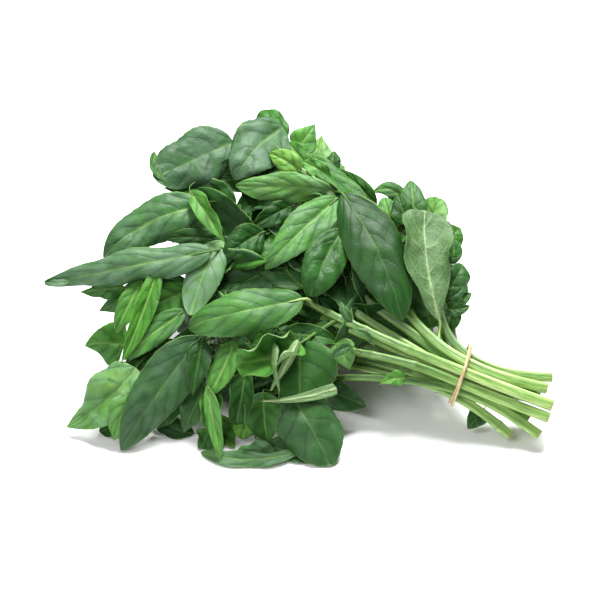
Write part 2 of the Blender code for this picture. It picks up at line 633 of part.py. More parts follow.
def tube(name, points, radii, collection, cyclic=False):
    """A welded mesh tube along points, in metres, from a bevelled curve."""
    curve = bpy.data.curves.new(name, "CURVE")
    curve.dimensions = "3D"
    curve.bevel_depth = MM
    curve.bevel_resolution = TUBE_ROUNDNESS
    curve.use_fill_caps = not cyclic
    spline = curve.splines.new("POLY")
    spline.points.add(len(points) - 1)
    for place, point, radius in zip(spline.points, points, radii):
        place.co = (*(point * MM), 1)
        place.radius = radius
    spline.use_cyclic_u = cyclic
    guide = bpy.data.objects.new(name + "_curve", curve)
    collection.objects.link(guide)
    bpy.context.view_layer.update()
    depsgraph = bpy.context.evaluated_depsgraph_get()
    mesh = bpy.data.meshes.new_from_object(guide.evaluated_get(depsgraph))
    bpy.data.objects.remove(guide)
    work = bmesh.new()
    work.from_mesh(mesh)
    bmesh.ops.remove_doubles(work, verts=work.verts, dist=0.00001)
    bmesh.ops.recalc_face_normals(work, faces=work.faces)
    work.to_mesh(mesh)
    work.free()
    solid = bpy.data.objects.new(name, mesh)
    collection.objects.link(solid)
    return solid


def solid_of(thing, shift):
    """The corners, in millimetres before the shift, and the faces of an object."""
    corners = np.array([v.co[:] for v in thing.data.vertices]) / MM - shift
    return corners, [tuple(p.vertices) for p in thing.data.polygons]


def mesh_object(name, vertices, faces, collection):
    mesh = bpy.data.meshes.new(name)
    mesh.from_pydata((vertices * MM).tolist(), [], faces)
    leaf = bpy.data.objects.new(name, mesh)
    collection.objects.link(leaf)
    return leaf


def join_leaves(stem, leaves):
    """One Boolean union of a stem with its leaves."""
    repeats = bpy.data.collections.new("leaves")
    bpy.context.scene.collection.children.link(repeats)
    for k, (vertices, faces) in enumerate(leaves):
        mesh_object(f"leaf_{k}", vertices, faces, repeats)
    union = stem.modifiers.new("union", "BOOLEAN")
    union.operation = "UNION"
    union.operand_type = "COLLECTION"
    union.collection = repeats
    union.solver = BOOLEAN_SOLVER
    bpy.context.view_layer.update()
    depsgraph = bpy.context.evaluated_depsgraph_get()
    mesh = bpy.data.meshes.new_from_object(stem.evaluated_get(depsgraph))
    stem.modifiers.remove(union)
    stem.data = mesh
    for leaf in list(repeats.objects):
        bpy.data.objects.remove(leaf)
    bpy.data.collections.remove(repeats)


def band_points(lines):
    """The doubled band's centre line, wound twice round the stems at the band's place."""
    edge = []
    for name, line in lines.items():
        tied = line[::-STEM_STEP]
        reach = (tied - BAND_CENTRE) @ BUNDLE_AXIS
        radius = STEMS[name][0] + BAND_GAP + BAND_THICKNESS / 2
        for along in (-1, 0, 1):
            level = along * (BAND_SPREAD + BAND_THICKNESS / 2)
            middle = np.array([np.interp(level, reach, tied[:, k]) for k in range(3)])
            middle -= BUNDLE_AXIS * level
            for turn in np.linspace(0, 2 * math.pi, 24, endpoint=False):
                out = BUNDLE_UP * math.cos(turn) + BUNDLE_OUT * math.sin(turn)
                edge.append(middle + out * radius)
    flat = [((p - BAND_CENTRE) @ BUNDLE_UP, (p - BAND_CENTRE) @ BUNDLE_OUT) for p in edge]
    hull = convex_hull_2d(flat)
    front = max(range(len(hull)), key=lambda k: flat[hull[k]][1])
    ring = [edge[i] for i in hull[front:] + hull[:front + 1]]
    ring = curve_through(ring, BAND_POINTS // 2 + 1)[:-1]
    middle = ring.mean(axis=0)
    twice = []
    for i in range(BAND_POINTS):
        turn = 2 * math.pi * i / len(ring)
        point = ring[i % len(ring)]
        out = unit(point - middle)
        spread = BAND_SPREAD * math.sin(turn / 2)
        twice.append(point + BUNDLE_AXIS * spread + out * (BAND_LIFT * (1 + math.cos(turn / 2))))
    return np.array(twice)


def main():
    for thing in list(bpy.data.objects):
        bpy.data.objects.remove(thing)
    bunch = bpy.data.collections.new("basil_bunch")
    bpy.context.scene.collection.children.link(bunch)
    green = new_material("leaf_green", LEAF_GREEN, 0.45)
    tan = new_material("band_tan", BAND_TAN, 0.6)
    shift = np.array(FRAME_SHIFT)

    lines = stem_lines()
    stems = {}
    space = Space()
    kept = slice(None, None, STEM_STEP)
    radii = {name: stem_radius(name, np.linspace(0, 1, STEM_SAMPLES)) for name in lines}
    for name, line in lines.items():
        stem = tube(f"leafy_stem_{name}", line[kept] + shift, radii[name][kept], bunch)
        stem.data.materials.append(green)
        stems[name] = stem
        space.add(name, *solid_of(stem, shift))
    loop = band_points(lines)
    band = tube("rubber_band", loop + shift, [BAND_THICKNESS / 2] * BAND_POINTS, bunch, cyclic=True)
    band.data.materials.append(tan)
    band.data.shade_smooth()
    space.add("rubber_band", *solid_of(band, shift))
    leaves = place_leaves(lines, space)
    for name, stem in stems.items():
        solids = [(vertices + shift, faces) for vertices, faces in leaves[name]]
        join_leaves(stem, solids)
        stem.data.shade_smooth()
        print(name, len(leaves[name]), "leaves", len(stem.data.polygons), "faces")


main()
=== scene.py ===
import math
import random

import bpy
import numpy as np
from mathutils import Matrix, Vector
from mathutils.bvhtree import BVHTree
from mathutils.geometry import convex_hull_2d


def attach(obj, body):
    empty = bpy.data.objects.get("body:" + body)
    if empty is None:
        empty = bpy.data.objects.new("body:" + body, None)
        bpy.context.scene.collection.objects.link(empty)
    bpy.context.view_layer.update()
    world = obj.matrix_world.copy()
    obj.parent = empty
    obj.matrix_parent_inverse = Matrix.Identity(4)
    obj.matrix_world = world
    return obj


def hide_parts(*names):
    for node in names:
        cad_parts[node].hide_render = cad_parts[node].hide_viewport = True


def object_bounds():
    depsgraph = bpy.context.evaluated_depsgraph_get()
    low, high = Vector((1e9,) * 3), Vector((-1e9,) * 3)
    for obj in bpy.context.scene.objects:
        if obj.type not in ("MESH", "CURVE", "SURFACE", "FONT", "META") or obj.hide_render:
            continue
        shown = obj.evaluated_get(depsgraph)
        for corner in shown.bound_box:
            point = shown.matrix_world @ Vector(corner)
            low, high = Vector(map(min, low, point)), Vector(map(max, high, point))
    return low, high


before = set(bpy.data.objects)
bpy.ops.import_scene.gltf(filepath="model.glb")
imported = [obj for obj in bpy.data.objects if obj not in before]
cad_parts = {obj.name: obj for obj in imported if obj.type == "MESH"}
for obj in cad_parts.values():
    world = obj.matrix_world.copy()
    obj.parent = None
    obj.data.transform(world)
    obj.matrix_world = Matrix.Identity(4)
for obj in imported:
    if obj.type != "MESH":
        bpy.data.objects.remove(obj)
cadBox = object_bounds()

# Places are in millimetres on a grid laid over the front view, before gridShift is added.
view = {"square": 0.5, "middle": 300, "groundRow": 400, "rise": math.radians(35), "distance": 1200,
        "sensor": 36, "nearest": 0.05, "gridShift": np.array((1.9, -27.4, 0.0))}
mm = 0.001
rightWay = np.array((1.0, 0.0, 0.0))
upWay = np.array((0.0, math.sin(view["rise"]), math.cos(view["rise"])))
towards = np.array((0.0, -math.cos(view["rise"]), math.sin(view["rise"])))
aim = np.array((0, 0, (view["groundRow"] - view["middle"]) * view["square"] / math.cos(view["rise"])))
eye = aim + towards * view["distance"]


def addObject(name, data):
    thing = bpy.data.objects.new(name, data)
    bpy.context.scene.collection.objects.link(thing)
    return thing


def makeCamera():
    data = bpy.data.cameras.new("photoCamera")
    data.sensor_width = view["sensor"]
    data.lens = data.sensor_width * view["distance"] / (2 * view["middle"] * view["square"])
    data.clip_start = view["nearest"]
    camera = addObject("photoCamera", data)
    turn = Matrix((Vector(rightWay), Vector(upWay), Vector(towards))).transposed().to_4x4()
    camera.matrix_world = Matrix.Translation(Vector((eye + view["gridShift"]) * mm)) @ turn
    bpy.context.scene.camera = camera


makeCamera()
print("camera ready")


# Where the stems and leaves are: the same rules as the solids follow.
heap = {"footDepth": -36, "lean": 0.56, "curve": 0.0024, "middleX": -10, "halfWidth": 125, "sideTurn": 30,
        "offFloor": 0.8, "core": np.array((-12, 34, 22)), "reach": np.array((126, 90, 120)),
        "backCentre": np.array((-14, 28, 0)), "innerDepth": 8}
stemRule = {"tipRadius": 1.1, "taper": 1.6, "samples": 46, "gap": 0.5, "offFloor": 0.4, "leafyFrom": 0.42,
            "leafyTo": 0.97, "nearest": 4, "rootReach": 4, "bendCost": 14,
            "nudges": 90, "nudge": 0.55, "smoothings": 75, "smoothing": 0.2}
leafRule = {"thickness": 0.8, "largeStations": (0.1, 0.28, 0.5, 0.72, 0.89, 1.0),
            "smallStations": (0.13, 0.42, 0.76, 1.0), "smallWidth": 22, "tipHalfWidth": 0.4,
            "bladeSamples": 40, "basePower": 0.72, "tipPower": 0.98, "fullWidth": 0.3105}
bandRule = {"thickness": 1.3, "spread": 1.0, "lift": 0.72, "points": 72, "gap": 0.35, "stemStep": 3}

# Each stem: its radius, its places at the cut end and at the band, across the bundle (up, out and
# along), and then its way into the heap as (column, row, depth).
stems = {
    "back_tall": (2.9, (8.3, 3, 0), (5.9, 2.6),
                  ((422, 335, -4), (388, 283, 20), (345, 203, 50), (300, 168, 66), (258, 141, 84))),
    "right_front": (2.6, (14.5, -1, 1), (9.0, -2.0),
                    ((440, 322, 5), (437, 290, 19), (428, 245, 37), (415, 218, 50))),
    "right_back": (2.6, (9.5, -8, -3), (5.9, -7.2),
                   ((450, 330, 14), (452, 300, 28), (450, 265, 44), (441, 226, 60))),
    "centre": (3.0, (0.9, 7, 5), (2.6, 7.0),
               ((400, 347, -17), (348, 322, -2), (305, 303, 12), (272, 284, 20),
                (250, 259, 27), (229, 243, 31))),
    "left_upper": (2.6, (2.6, 1, -4), (0.0, 2.6),
                   ((395, 338, -7), (330, 296, 16), (272, 258, 38), (234, 235, 48), (204, 208, 54))),
    "left_middle": (2.6, (-8.5, -2, -3), (-2.9, -2.4),
                    ((400, 360, -8), (345, 338, 6), (290, 318, 14), (240, 306, 16), (196, 300, 16))),
    "left_low": (2.6, (-20, 0, -9), (-9.2, -2.0),
                 ((405, 376, -14), (352, 362, -2), (300, 354, 5), (245, 352, 3), (200, 343, -2))),
    "front_low": (2.7, (-15, 4, 4), (-6.2, 2.6),
                  ((400, 379, -24), (370, 377, -22), (340, 377, -19), (306, 380, -15), (276, 392, -18))),
    "front_middle": (2.8, (-4.8, 7, 5.5), (-3.2, 7.0),
                     ((400, 360, -22), (370, 355, -18), (350, 350, -13), (315, 346, -6),
                      (288, 341, -3), (262, 337, 0))),
    "under": (2.6, (-7.5, -9, -6), (-5.9, -7.2),
              ((400, 364, 2), (350, 351, 20), (300, 342, 36), (252, 334, 46))),
    "back_low": (2.6, (1, -9, -4), (0.0, -7.4),
                 ((400, 330, 10), (352, 285, 38), (302, 248, 60), (256, 224, 72))),
    "back_right": (2.6, (5, -3, -2), (2.9, -2.4),
                   ((412, 318, 8), (402, 270, 30), (390, 226, 45))),
}

# A leaf: its base, middle and tip as (column, row), width, inset in the heap, roll and fold.
frontLeaves = {
    "centreFront": ((303, 299), (245, 311), (184, 326), 22, -4, 12, 0.18),
    "largestDark": ((342, 193), (378, 252), (403, 322), 28, -2, -10, 0.12),
    "longestLeft": ((212, 251), (127, 267), (45, 285), 17, -2, 10, 0.3),
    "longLowerLeft": ((200, 338), (160, 390), (121, 452), 24, -1, -8, 0.16),
    "bottomLeft": ((131, 374), (103, 406), (70, 428), 26, 0, 12, 0.22),
    "bottomFront": ((290, 394), (312, 430), (331, 467), 30, 0, -6, 0.14),
    "lowerDark": ((291, 341), (297, 371), (304, 402), 33, 0, 4, -0.1),
    "cuppedLight": ((300, 343), (268, 357), (236, 364), 23, -1, -14, 0.4),
    "paleUnderside": ((440, 322), (427, 265), (425, 212), 23, 0, 172, -0.22),
    "topLeftGrey": ((229, 143), (190, 163), (151, 162), 25, 3, 8, 0.1),
    "roundTop": ((281, 150), (253, 139), (225, 146), 21, 4, 0, 0.05),
    "upperLeft": ((202, 206), (150, 222), (101, 258), 21, 2, 10, 0.12),
    "lightMiddle": ((338, 198), (302, 230), (265, 268), 19, 1, 6, 0.16),
    "veinedMiddle": ((343, 230), (324, 262), (311, 296), 20, 0, -4, 0.14),
    "greyLeft": ((223, 241), (204, 275), (191, 316), 18, 0, 8, 0.12),
    "upperMiddle": ((335, 190), (285, 187), (234, 188), 15, 3, 4, 0.14),
    "foldedStrip": ((296, 154), (336, 181), (377, 226), 12, 2, -30, 0.7),
    "leftHanging": ((158, 267), (143, 312), (122, 361), 10, 0, -20, 0.45),
    "narrowUpperLeft": ((190, 191), (206, 214), (224, 242), 8, 0, 10, 0.4),
    "leftSlanting": ((186, 310), (156, 331), (122, 362), 13, 1, 8, 0.2),
    "centreHanging": ((235, 340), (223, 368), (207, 397), 13, 0, 10, 0.2),
    "leftHangingBack": ((142, 280), (128, 306), (115, 334), 11, 3, 12, 0.25),
    "leftBright": ((124, 346), (103, 343), (82, 347), 18, 4, 0, 0.1),
    "leftSmallUpper": ((124, 287), (102, 290), (80, 292), 7, 3, 0, 0.3),
    "leftSmallPale": ((136, 298), (117, 303), (98, 312), 9, 5, 0, 0.2),
    "greyBehindLeft": ((190, 292), (163, 301), (138, 318), 17, 6, 0, 0.15),
    "oliveHanging": ((263, 392), (264, 418), (268, 443), 14, 5, 10, 0.25),
    "narrowOlive": ((245, 371), (241, 400), (235, 428), 8, 3, 0, 0.3),
    "paleNarrow": ((214, 390), (211, 412), (209, 433), 7, 3, 0, 0.3),
    "yellowEdged": ((218, 414), (225, 438), (235, 462), 11, 2, 0, 0.25),
    "narrowDark": ((212, 426), (213, 445), (219, 463), 7, 5, 0, 0.2),
    "frontPale": ((276, 455), (254, 457), (232, 462), 10, 1, 0, 0.3),
    "frontThin": ((265, 447), (295, 456), (322, 467), 8, 5, 0, 0.2),
    "yellowSmall": ((254, 416), (246, 428), (240, 441), 8, 3, 0, 0.2),
    "smallLower": ((215, 430), (206, 443), (198, 457), 9, 4, 0, 0.2),
    "shadeUpperLeft": ((236, 204), (200, 190), (164, 188), 15, 7, 0, 0.15),
    "shadeUpper": ((250, 190), (222, 180), (192, 192), 14, 12, 0, 0.15),
    "shadeBottomLeft": ((142, 398), (120, 420), (98, 437), 14, 5, 0, 0.15),
    "darkRound": ((263, 232), (243, 243), (222, 258), 16, 6, 0, 0.1),
    "darkOlive": ((338, 206), (318, 215), (298, 230), 14, 6, 0, 0.1),
    "darkStrip": ((292, 206), (272, 215), (252, 228), 9, 8, 0, 0.2),
    "darkBand": ((340, 194), (299, 180), (258, 164), 12, 8, 0, 0.2),
    "greyShadowLeft": ((180, 384), (167, 406), (152, 430), 14, 7, 0, 0.15),
    "greyShadowRight": ((205, 384), (194, 408), (183, 434), 13, 6, 0, 0.15),
    "darkInner": ((202, 341), (197, 368), (192, 396), 10, 4, 0, 0.2),
    "darkLongInner": ((202, 348), (160, 353), (121, 358), 11, 8, 0, 0.2),
    "underFront": ((281, 333), (312, 335), (341, 342), 9, 2, 0, 0.35),
    "palePiece": ((335, 344), (344, 356), (350, 371), 10, 3, 0, 0.2),
    "smallCentre": ((322, 306), (300, 311), (278, 306), 9, 3, 0, 0.3),
    "floorShadow": ((312, 388), (340, 396), (368, 408), 14, 10, 0, 0.1),
    "behindRoundTop": ((284, 140), (272, 124), (254, 118), 15, 9, 0, 0.1),
    "topPoint": ((297, 149), (307, 136), (316, 123), 12, 9, 0, 0.15),
    "topPale": ((318, 178), (319, 156), (322, 134), 19, 12, 0, 0.15),
    "topSmallDark": ((332, 172), (333, 161), (334, 151), 7, 9, 0, 0.2),
    "topMiddlePale": ((300, 172), (286, 161), (267, 153), 11, 6, 0, 0.25),
    "rightThin": ((376, 206), (358, 186), (338, 168), 8, 6, 0, 0.3),
    "rightArc": ((403, 199), (388, 189), (370, 194), 8, 14, 0, 0.2),
    "rightCluster": ((391, 231), (387, 212), (383, 195), 11, 8, 0, 0.2),
    "rightPoint": ((416, 218), (413, 199), (411, 178), 13, 6, 0, 0.15),
    "rightPointSmall": ((406, 225), (402, 208), (397, 192), 10, 9, 0, 0.2),
    "rightBacklit": ((426, 228), (434, 211), (441, 195), 15, 10, 0, 0.15),
    "rightRound": ((445, 244), (453, 235), (461, 228), 11, 10, 0, 0.1),
    "rightDarkSmall": ((450, 264), (454, 251), (453, 239), 7, 8, 0, 0.2),
    "rightLight": ((447, 292), (456, 278), (464, 263), 12, 6, 0, 0.2),
    "budUpper": ((446, 301), (456, 294), (466, 287), 6, 4, 0, 0.3),
    "budSide": ((447, 304), (459, 300), (472, 293), 6, 4, 0, 0.3),
    "budLower": ((447, 309), (459, 309), (471, 305), 6, 4, 0, 0.3),
    "rightHanging": ((450, 309), (449, 323), (446, 337), 9, 5, 0, 0.2),
    "rightDarkBack": ((432, 328), (423, 301), (415, 276), 14, 8, 0, 0.15),
    "lowStemLeaf": ((405, 379), (392, 379), (379, 385), 6, -2, 0, 0.3),
    "underBundle": ((482, 411), (475, 420), (467, 430), 8, 0, 0, 0.2),
}

# Leaves that lie on the surface, behind: start, heading in degrees, length and width.
restLeaves = {
    "restMiddle": ((6, 28, 8), 210, 34, 18),
    "restBackLeft": ((-46, 62, 9), 125, 36, 20),
    "restBackRight": ((20, 66, 9), 80, 38, 20),
}

# The heap's outline in the front view, as (column, row).
heapOutline = (
    (60, 284), (104, 252), (112, 232), (136, 202), (160, 184), (160, 160), (200, 144), (232, 128),
    (262, 120), (290, 122), (313, 134), (334, 160), (360, 186), (398, 196), (414, 190), (438, 204),
    (456, 234), (462, 268), (462, 300), (448, 330), (420, 340), (380, 336), (345, 350), (338, 392),
    (326, 410), (318, 452), (240, 456), (204, 446), (150, 438), (120, 430), (78, 420), (84, 400),
    (118, 372), (98, 346), (108, 322),
)

def unit(v):
    return v / np.linalg.norm(v)


def around(v, axis, degrees):
    turn = math.radians(degrees)
    axis = unit(axis)
    cross = np.cross(axis, v)
    return v * math.cos(turn) + cross * math.sin(turn) + axis * (axis @ v) * (1 - math.cos(turn))


def seen(column, row, depth):
    # the point that the front view shows at a grid place, at that depth along Y
    across = rightWay * ((column - view["middle"]) * view["square"])
    up = upWay * ((view["middle"] - row) * view["square"])
    ray = aim + across + up - eye
    return eye + ray * ((depth - eye[1]) / ray[1])


def gridPlaces(points):
    # the grid's column and row for one point or for many
    ray = points - eye
    ray = ray * (view["distance"] / (ray @ -towards))[..., None]
    onSheet = eye + ray - aim
    return np.stack([view["middle"] + onSheet @ rightWay / view["square"],
                     view["middle"] - onSheet @ upWay / view["square"]], axis=-1)


def heapFront(column, row):
    across = (column - view["middle"]) * view["square"]
    height = (view["groundRow"] - row) * view["square"]
    depth = heap["footDepth"] + heap["lean"] * height + heap["curve"] * height * height
    side = min(0.98, abs(across - heap["middleX"]) / heap["halfWidth"])
    depth += heap["sideTurn"] * (1 - math.sqrt(1 - side * side))
    return min(depth, (height - heap["offFloor"]) / math.sin(view["rise"]))


def inHeap(column, row, inset):
    point = seen(column, row, heapFront(column, row) + inset)
    point[2] = max(point[2], leafRule["thickness"] / 2)
    return point


def heapLine(base, middle, tip, inset):
    return [inHeap(*base, inset + 2), inHeap(*middle, inset - 1), inHeap(*tip, inset)]


def runAlong(points):
    return np.concatenate([[0], np.cumsum(np.linalg.norm(np.diff(points, axis=0), axis=1))])


def lengthOf(points):
    return np.linalg.norm(np.diff(points, axis=0), axis=1).sum()


def placesAt(line, run, wanted):
    return np.stack([np.interp(wanted, run, line[:, k]) for k in range(3)], axis=1)


def curveThrough(points, samples):
    points = np.asarray(points, float)
    gaps = np.linalg.norm(np.diff(points, axis=0), axis=1)
    slopes = np.diff(points, axis=0) / gaps[:, None]
    inner = slopes[:-1] * gaps[1:, None] + slopes[1:] * gaps[:-1, None]
    inner /= (gaps[:-1] + gaps[1:])[:, None]
    tangents = np.vstack([2 * slopes[:1] - inner[:1], inner, 2 * slopes[-1:] - inner[-1:]])
    fine = []
    for i, gap in enumerate(gaps):
        t = np.linspace(0, 1, 25)[:, None]
        start, end = points[i], points[i + 1]
        leave, arrive = tangents[i] * gap, tangents[i + 1] * gap
        piece = start * (2 * t**3 - 3 * t**2 + 1) + end * (3 * t**2 - 2 * t**3)
        piece += leave * (t**3 - 2 * t**2 + t) + arrive * (t**3 - t**2)
        fine.append(piece if i == 0 else piece[1:])
    fine = np.vstack(fine)
    run = runAlong(fine)
    return placesAt(fine, run, np.linspace(0, run[-1], samples))


bandCentre = seen(461, 376, -21)
cutCentre = seen(541, 404, -30)
bandColumn, bandRow = gridPlaces(bandCentre)
bundleAxis = unit(cutCentre - bandCentre)
bundleOut = unit(towards - bundleAxis * (towards @ bundleAxis))
bundleUp = np.cross(bundleOut, bundleAxis)


def acrossBundle(centre, up, out, along=0):
    return centre + bundleUp * up + bundleOut * out + bundleAxis * along


def stemRadius(stem, share):
    cut = stems[stem][0]
    return cut + (stemRule["tipRadius"] - cut) * np.asarray(share) ** stemRule["taper"]


def stemLines():
    # centre lines of the stems, nudged apart until none is in another
    samples = stemRule["samples"]
    lines = []
    for radius, cut, band, way in stems.values():
        end = acrossBundle(cutCentre, *cut)
        tied = acrossBundle(bandCentre, *band)
        lines.append(curveThrough([end, tied, *(seen(*place) for place in way)], samples))
    points = np.array(lines)
    radii = np.array([stemRadius(name, np.linspace(0, 1, samples)) for name in stems])
    flatRadii = radii.ravel()
    owner = np.repeat(np.arange(len(stems)), samples)
    least = flatRadii[:, None] + flatRadii[None, :] + stemRule["gap"]
    least[owner[:, None] == owner[None, :]] = 0
    for turn in range(stemRule["nudges"]):
        flat = points.reshape(-1, 3)
        apart = flat[:, None, :] - flat[None, :, :]
        distance = np.sqrt((apart**2).sum(axis=2)) + 1e-9
        short = np.clip(least - distance, 0, None)
        push = (apart / distance[:, :, None] * short[:, :, None]).sum(axis=1)
        count = np.maximum((short > 0).sum(axis=1), 1)[:, None]
        points = (flat + stemRule["nudge"] * push / count).reshape(points.shape)
        if turn < stemRule["smoothings"]:
            middle = (points[:, :-2] + points[:, 2:]) / 2
            points[:, 1:-1] += stemRule["smoothing"] * (middle - points[:, 1:-1])
        points[:, :, 2] = np.maximum(points[:, :, 2], radii + stemRule["offFloor"])
    return dict(zip(stems, points))


def bladeWidth(share):
    share = np.asarray(share, float)
    return (share ** leafRule["basePower"]) * ((1 - share) ** leafRule["tipPower"]) / leafRule["fullWidth"]


def framesAlong(centres, tangents, facing, start):
    # normals that turn as little as they can along a leaf, from the one at start
    normals = np.zeros_like(centres)
    normals[start] = unit(facing - tangents[start] * (facing @ tangents[start]))
    for i in [*range(start + 1, len(centres)), *range(start - 1, -1, -1)]:
        last = normals[i - 1] if i > start else normals[i + 1]
        normals[i] = unit(last - tangents[i] * (last @ tangents[i]))
    return normals


def bladeRun(points, index):
    # the blade's middle line at fractional indices: places and directions
    samples = leafRule["bladeSamples"]
    line = curveThrough(points[1:], samples + 1)
    before, at, after = (placesAt(line, np.arange(len(line)), np.clip(index + step, 0, samples))
                         for step in (-1, 0, 1))
    run = after - before
    return at, run / np.linalg.norm(run, axis=1)[:, None]


def solidLeafFrames(points, width, facing):
    # the rings of a leaf's solid: how many are in its stalk, its stations, places, directions, normals
    small = width < leafRule["smallWidth"]
    stations = leafRule["smallStations"] if small else leafRule["largeStations"]
    root, base = points[0], points[1]
    stalk = [root] if small else [root, (root + base) / 2]
    blade, run = bladeRun(points, np.array(stations) * leafRule["bladeSamples"])
    tangents = np.vstack([[unit(base - root)] * len(stalk), run])
    centres = np.vstack([stalk, blade])
    normals = framesAlong(centres, tangents, facing, len(centres) // 2 + 1)
    return len(stalk), stations, centres, tangents, normals


def solidLeafTops(points, width, facing, fold):
    # the upper corners of the blade of a leaf's solid, without those that lie on the floor
    first, stations, centres, tangents, normals = solidLeafFrames(points, width, facing)
    sides = np.cross(tangents, normals)
    corners = []
    for i in range(first, len(centres)):
        half = max(width / 2 * float(bladeWidth(stations[i - first])), leafRule["tipHalfWidth"])
        for q in (-1, 0, 1):
            corner = centres[i] + q * half * sides[i] + fold * abs(q) * half * normals[i]
            if corner[2] >= leafRule["thickness"] / 2 - 0.01:
                corners.append(corner + normals[i] * leafRule["thickness"] / 2)
    return corners


def nearestRoots(lines, base, ahead):
    # the best stems for a leaf, each with the place from which a stalk meets the blade most evenly
    found = []
    for name, line in lines.items():
        reach = base - line
        distance = np.linalg.norm(reach, axis=1)
        near = int(np.argmin(distance))
        span = stemRule["rootReach"]
        window = range(max(near - span, 1), min(near + span + 1, len(line) - 1))
        cost = {k: distance[k] + stemRule["bendCost"] * (1 - (reach[k] @ ahead) / distance[k])
                for k in window}
        root = min(window, key=lambda k: cost[k])
        found.append((cost[root], name, root))
    found.sort()
    return [(name, lines[name][root]) for _, name, root in found[:stemRule["nearest"]]]


# What each kind of leaf may be moved and turned by until it fits its neighbours, as in the solids.
shifts = {"insets": (0, 1.5, -1.5, 3, 4.5, -3, 6, 8, 10, -5, 13, 16), "rolls": (0, 14, -14, 28, -28),
          "slides": (0, 8, -8, 14), "headings": (0, 20, -20, 40, -40, 60, -60, 90, -90),
          "leans": (0, 25, -25, 50)}


def frontChoices(lines, leaf):
    base, middle, tip, width, inset, roll, fold = frontLeaves[leaf]
    for shift in shifts["insets"]:
        blade = heapLine(base, middle, tip, inset + shift)
        for stem, root in nearestRoots(lines, blade[0], unit(blade[1] - blade[0])):
            for more in shifts["rolls"]:
                facing = around(towards, blade[2] - blade[0], roll + more)
                yield stem, [root, *blade], width, facing, fold


def restChoices(lines, leaf):
    start, heading, length, width = restLeaves[leaf]
    for slide in shifts["slides"]:
        for more in shifts["headings"]:
            turn = math.radians(heading + more)
            ahead = np.array((math.cos(turn), math.sin(turn), 0))
            base = np.array(start) + ahead * slide
            floor = np.array((1, 1, 0)) * base + (0, 0, leafRule["thickness"] / 2)
            blade = [base, floor + ahead * length * 0.55, floor + ahead * length]
            for stem, root in nearestRoots(lines, base, ahead):
                yield stem, [root, *blade], width, np.array((0, 0, 1.0)), 0


def insideOutline(column, row):
    inside = False
    for (ax, ay), (bx, by) in zip(heapOutline, heapOutline[1:] + heapOutline[:1]):
        if (ay > row) != (by > row) and column < ax + (row - ay) * (bx - ax) / (by - ay):
            inside = not inside
    return inside


def fitsHeap(point):
    column, row = gridPlaces(point)
    away = (point - heap["backCentre"]) / heap["reach"]
    behind = point[1] > heapFront(column, row) + heap["innerDepth"]
    return away @ away < 1 and behind and insideOutline(column, row)


def laidInHeap(*points):
    # lifts a leaf's places off the floor and says whether they are all in the heap
    for point in points:
        point[2] = max(point[2], leafRule["thickness"] / 2)
    return all(fitsHeap(point) for point in points)


# Leaves that follow a rule: in crossed pairs along the stems, and over the skin of the heap.
innerRule = {"spacing": 11.5, "tries": 14, "lengths": (50, 26), "tipLeaves": 4, "tipShare": 0.98,
             "seed": 11}
skinRule = {"draws": 1000, "lengths": (26, 46), "depths": (1, 14), "step": 2, "nearest": 2}
widthShares, folds = (0.42, 0.54), (0.05, 0.3)


def innerChoices(line, share, angle, length, draw):
    i = min(int(share * (len(line) - 1)), len(line) - 2)
    root = line[i]
    along = unit(line[i + 1] - line[i])
    side = unit(np.cross(along, (0, 0, 1.0)))
    over = np.cross(side, along)
    for _ in range(innerRule["tries"]):
        turn = math.radians(angle + draw.uniform(-40, 40))
        lean = draw.uniform(0.2, 0.9)
        stalk = draw.uniform(7, 13)
        long = length * draw.uniform(0.75, 1.1)
        droop = draw.uniform(-0.05, 0.5)
        out = unit(side * math.cos(turn) + over * math.sin(turn) + along * lean)
        base = root + out * stalk
        middle = base + out * long * 0.5 - np.array((0, 0, droop * long * 0.18))
        tip = base + out * long * 0.96 - np.array((0, 0, droop * long * 0.62))
        laid = laidInHeap(base, middle, tip)
        outward = unit(middle - heap["core"]) + np.array((0, 0, 0.5))
        facing = around(outward, out, draw.uniform(-25, 25))
        width = long * draw.uniform(*widthShares)
        fold = draw.uniform(*folds)
        if laid:
            yield [root, base, middle, tip], width, facing, fold


def innerLeaves(lines):
    draw = random.Random(innerRule["seed"])
    first, last = innerRule["lengths"]
    for name, line in lines.items():
        leafy = stemRule["leafyTo"] - stemRule["leafyFrom"]
        pairs = int(lengthOf(line) * leafy / innerRule["spacing"])
        for k in range(pairs):
            share = stemRule["leafyFrom"] + leafy * (k + 0.5) / pairs
            length = first + (last - first) * (k / pairs) ** 1.5
            for side in (0, 180):
                yield name, list(innerChoices(line, share, side + 90 * (k % 2), length, draw))
        for k in range(innerRule["tipLeaves"]):
            angle = k * 360 / innerRule["tipLeaves"]
            yield name, list(innerChoices(line, innerRule["tipShare"], angle, last, draw))


def skinChoices(lines, draw):
    height, turn = draw.uniform(-0.1, 1), draw.uniform(0, 2 * math.pi)
    level = math.sqrt(1 - height * height)
    outward = np.array((math.cos(turn) * level, math.sin(turn) * level, height))
    long = draw.uniform(*skinRule["lengths"])
    deep = draw.uniform(*skinRule["depths"])
    swing = draw.uniform(-55, 55)
    droop = draw.uniform(0, 0.3)
    width = long * draw.uniform(*widthShares)
    fold = draw.uniform(*folds)
    reach, step, core = 0, skinRule["step"], heap["core"]
    while fitsHeap(core + outward * (reach + step)) and core[2] + outward[2] * reach > 1:
        reach += step
    middle = core + outward * (reach - deep)
    flow = middle - bandCentre
    flow = around(unit(flow - outward * (flow @ outward)), outward, swing)
    for lean in shifts["leans"]:
        turned = around(flow, outward, lean)
        base = middle - turned * long * 0.48 - outward * 3
        tip = middle + turned * long * 0.48 - outward * 2 - np.array((0, 0, droop * long * 0.4))
        if laidInHeap(base, middle, tip):
            for stem, root in nearestRoots(lines, base, turned)[:skinRule["nearest"]]:
                yield stem, [root, base, middle, tip], width, outward, fold


